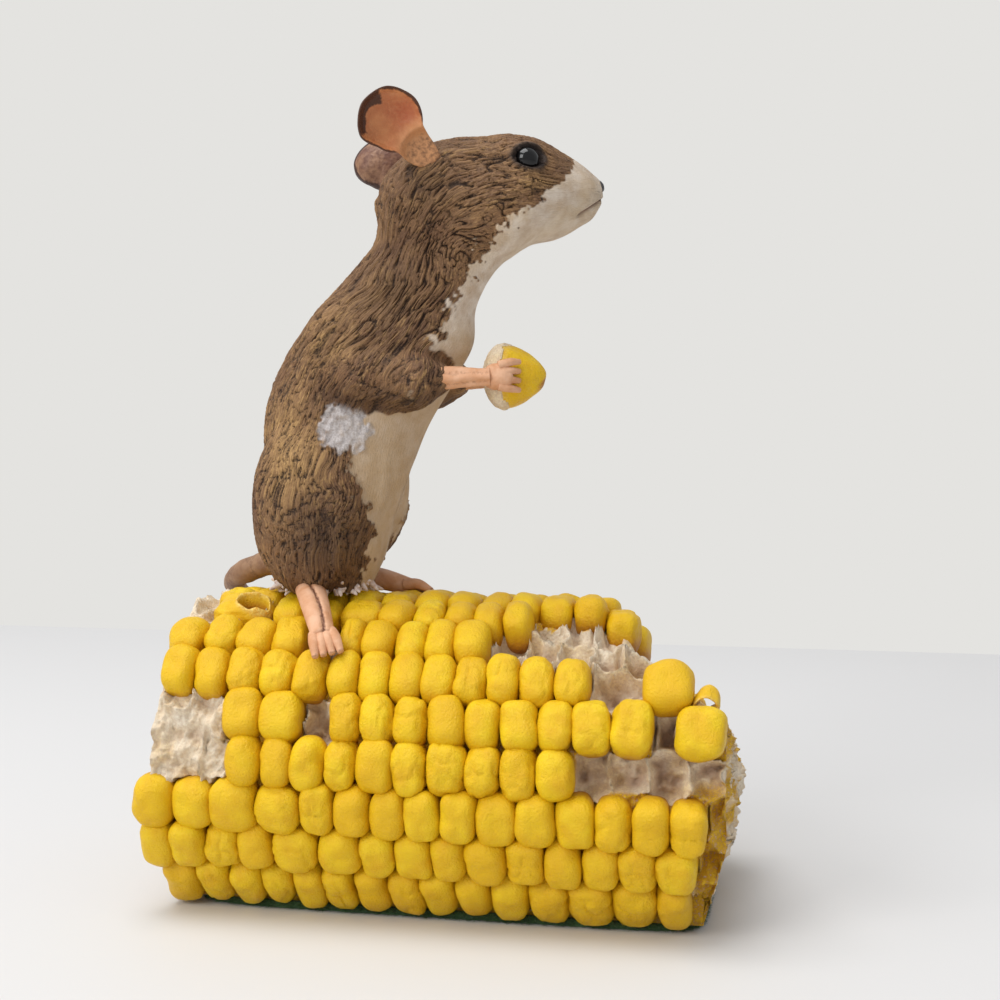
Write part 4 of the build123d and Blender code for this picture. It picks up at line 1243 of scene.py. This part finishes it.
def build_torn_kernel(material):
    """A long kernel with its crown torn open over a pit, whose inside is painted dark brown as shade."""
    way, faces = ball_grid(70, 90)
    points = pillow(way, np.array((4.2, 3.3, 3.0)), 2.7)
    points *= (1 + 0.05 * noise(way * 4, 1.6, 12) + 0.03 * noise(way * 4, 0.7, 13))[:, None]
    ragged = 0.25 * noise(points, 1.2, 14)
    away = np.hypot((points[:, 0] - 1.7) / 1.9, (points[:, 1] + 0.6) / 1.5) + ragged
    inside = smooth_step(away, 1.15, 0.75) * (points[:, 2] > 0)
    lip = bell(away, 1.25, 0.16) * (points[:, 2] > 0)
    points[:, 2] -= 2.4 * inside
    points[:, 2] += 0.35 * lip
    points[:, 2] -= CROWN_DEPTH
    # Inside the pit rise is nearly 0, so it gets the darkest crease colour: painted shade.
    rise = np.clip(1 + points[:, 2] / RISE_DEPTH, 0, 1) * (1 - inside) + 0.02 * inside
    row, along = 7, -30.0
    heap = Heap("rise", "tone", "torn")
    placed = place_kernel(points, row, along, CROWN_RADIUS + 0.3)
    heap.add(placed, faces, rise=rise, tone=-0.3, torn=np.clip(0.8 * lip, 0, 1))
    heap.make("torn_kernel_open", material, "kernel", "torn_kernel")


SKIN_ROUTE = (
    (33.8, -15.4, 25.6),
    (33.5, -15.8, 28.8),
    (34.0, -16.0, 31.2),
    (35.2, -16.1, 32.3),
    (36.5, -16.0, 31.7),
    (36.7, -15.9, 30.5),
    (35.8, -15.8, 29.9),
)


def build_kernel_skin(material):
    """A sliver of yellow skin that stands up and curls over, with two stubs of torn kernel below it."""
    steps, sides, half_thick = 70, 24, 0.30
    line = smooth_route(SKIN_ROUTE, steps)
    broad = np.array((0.1, 0.94, 0.33))
    flat = np.cross(unit(np.gradient(line, axis=0)), broad)
    around = ring_turns(sides)[None, :, None]
    half_width = (1.5 + 0.35 * np.sin(np.linspace(0, 5, steps)))[:, None, None]
    points = line[:, None] + broad * (np.cos(around) * half_width)
    points = (points + flat[:, None] * (np.sin(around) * half_thick)).reshape(-1, 3)
    points += flat.repeat(sides, axis=0) * (0.12 * noise(points, 1.0, 15))[:, None]
    edge = np.tile(np.abs(np.cos(ring_turns(sides))) ** 6, steps)
    heap = Heap("rise", "tone", "torn")
    heap.add(points, sealed_faces(steps, sides), rise=0.8, tone=-0.4, torn=0.7 * edge)
    way, ball_faces = ball_grid(28, 34)
    for number, place in enumerate(((35.9, -15.2, 27.6), (36.3, -16.0, 24.4))):
        swell = 1 + 0.12 * noise(way, 0.6, 20 + number)
        lump = pillow(way, np.array((1.5, 1.1, 1.4)), 2.6) * swell[:, None]
        heap.add(np.array(place) + lump, ball_faces, rise=0.7, tone=-0.2, torn=0.35)
    heap.make("kernel_skin_curled", material, "kernel", "kernel_skin")


def paint_wires(material):
    for name in ("spine_wire", "right_leg_wire", "left_leg_wire"):
        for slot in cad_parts[name].material_slots:
            slot.material = material


# Stage


def build_table():
    """A pale table whose far edge meets the pale room behind it."""
    table = Nodes("pale_table")
    tint = table.mix(table.noise(table.place(), 0.004, 2), colour(212, 211, 210), colour(216, 215, 214))
    near, far, half = -900.0, 236.0, 1500.0
    corners = np.array(((-half, near, 0), (half, near, 0), (half, far, 0), (-half, far, 0)))
    mesh = bpy.data.meshes.new("table_top")
    mesh.from_pydata((corners * MILLIMETRE).tolist(), [], [[0, 1, 2, 3]])
    mesh.materials.append(table.finish(tint, 0.6, Specular_IOR_Level=0.2))
    floor = put_in_scene("table_top", mesh)


def build_room():
    """The camera sees a pale wall, and the rest is lit by a dimmer sky."""
    world = bpy.data.worlds.new("pale_room")
    bpy.context.scene.world = world
    world.use_nodes = True
    tree = world.node_tree
    tree.nodes.clear()
    path = add_node(tree, "LightPath", {})
    seen = add_node(tree, "Background", {"Color": colour(228, 227, 224)})
    light = add_node(tree, "Background", {"Color": (0.97, 0.98, 1.0), "Strength": 0.58})
    shaders = {1: light.outputs["Background"], 2: seen.outputs["Background"]}
    either = add_node(tree, "MixShader", {"Fac": path.outputs["Is Camera Ray"]} | shaders)
    add_node(tree, "OutputWorld", {"Surface": either.outputs["Shader"]})


def look(piece, place, ahead):
    """Puts a lamp or the camera in its place, facing that way."""
    piece.location = place
    piece.rotation_euler = ahead.to_track_quat("-Z", "Y").to_euler()


def add_lamp(name, place, size, power):
    data = bpy.data.lights.new(name, "AREA")
    data.shape = "SQUARE"
    data.size = size
    data.energy = power
    aim = Vector((0, 0, 0.05))
    look(put_in_scene(name, data), place, aim - Vector(place))


def add_camera():
    data = bpy.data.cameras.new("camera")
    data.lens = 57.6
    data.sensor_width = 36
    data.clip_start = 0.005
    camera = put_in_scene("camera", data)
    turn, tip = radians(11.3), radians(3.433)
    ahead = Vector((-sin(turn) * cos(tip), cos(turn) * cos(tip), -sin(tip)))
    look(camera, Vector((49.0, -218.6, 68.7)) * MILLIMETRE, ahead)
    bpy.context.scene.camera = camera


kernel_yellow = kernel_material()
torn_pith = pith_material()
build_kernel_rows(kernel_yellow)
build_core(torn_pith)
build_felt(felt_material())
build_body(fur_material())
build_fringe(fringe_material())
build_eyes(eye_material())
build_nose(nose_material())
ear_orange = ear_material()
right_ear = (-7.6, -10.0, 106.3), (0.914, 0.407, 0.05), (0, -0.2, 1), RIGHT_EAR_TURNS, RIGHT_EAR_REACHES, 1
left_ear = (-12.9, 6.5, 103.0), (0.954, 0.236, 0.0), (-0.1, 0.25, 1), LEFT_EAR_TURNS, LEFT_EAR_REACHES, 2
build_ear(*right_ear, ear_orange, "right_ear")
build_ear(*left_ear, ear_orange, "left_ear")
paw_peach = skin_material("paw_peach", (222, 174, 140), (202, 146, 106), (104, 62, 42))
build_forearm(-1, paw_peach, "right_forearm")
build_forearm(1, paw_peach, "left_forearm")
build_foot((-0.7, -21.0), (-2.4, -15.6), paw_peach, "right_hind_foot")
build_foot((0.9, -20.0), (1.1, -9.6), paw_peach, "left_hind_foot")
build_held_kernel(torn_pith, kernel_yellow)
build_torn_kernel(kernel_yellow)
build_kernel_skin(kernel_yellow)
paint_wires(steel_material())
build_tail(skin_material("tail_brown", (156, 122, 92), (128, 94, 70), (100, 70, 52)))
build_table()
build_room()
add_lamp("overhead_lamp", (-0.15, -0.10, 0.75), 0.5, 3.85)
add_lamp("window_lamp", (-0.45, -0.60, 0.45), 0.4, 2.95)
add_camera()
bpy.context.scene.view_settings.view_transform = "Standard"
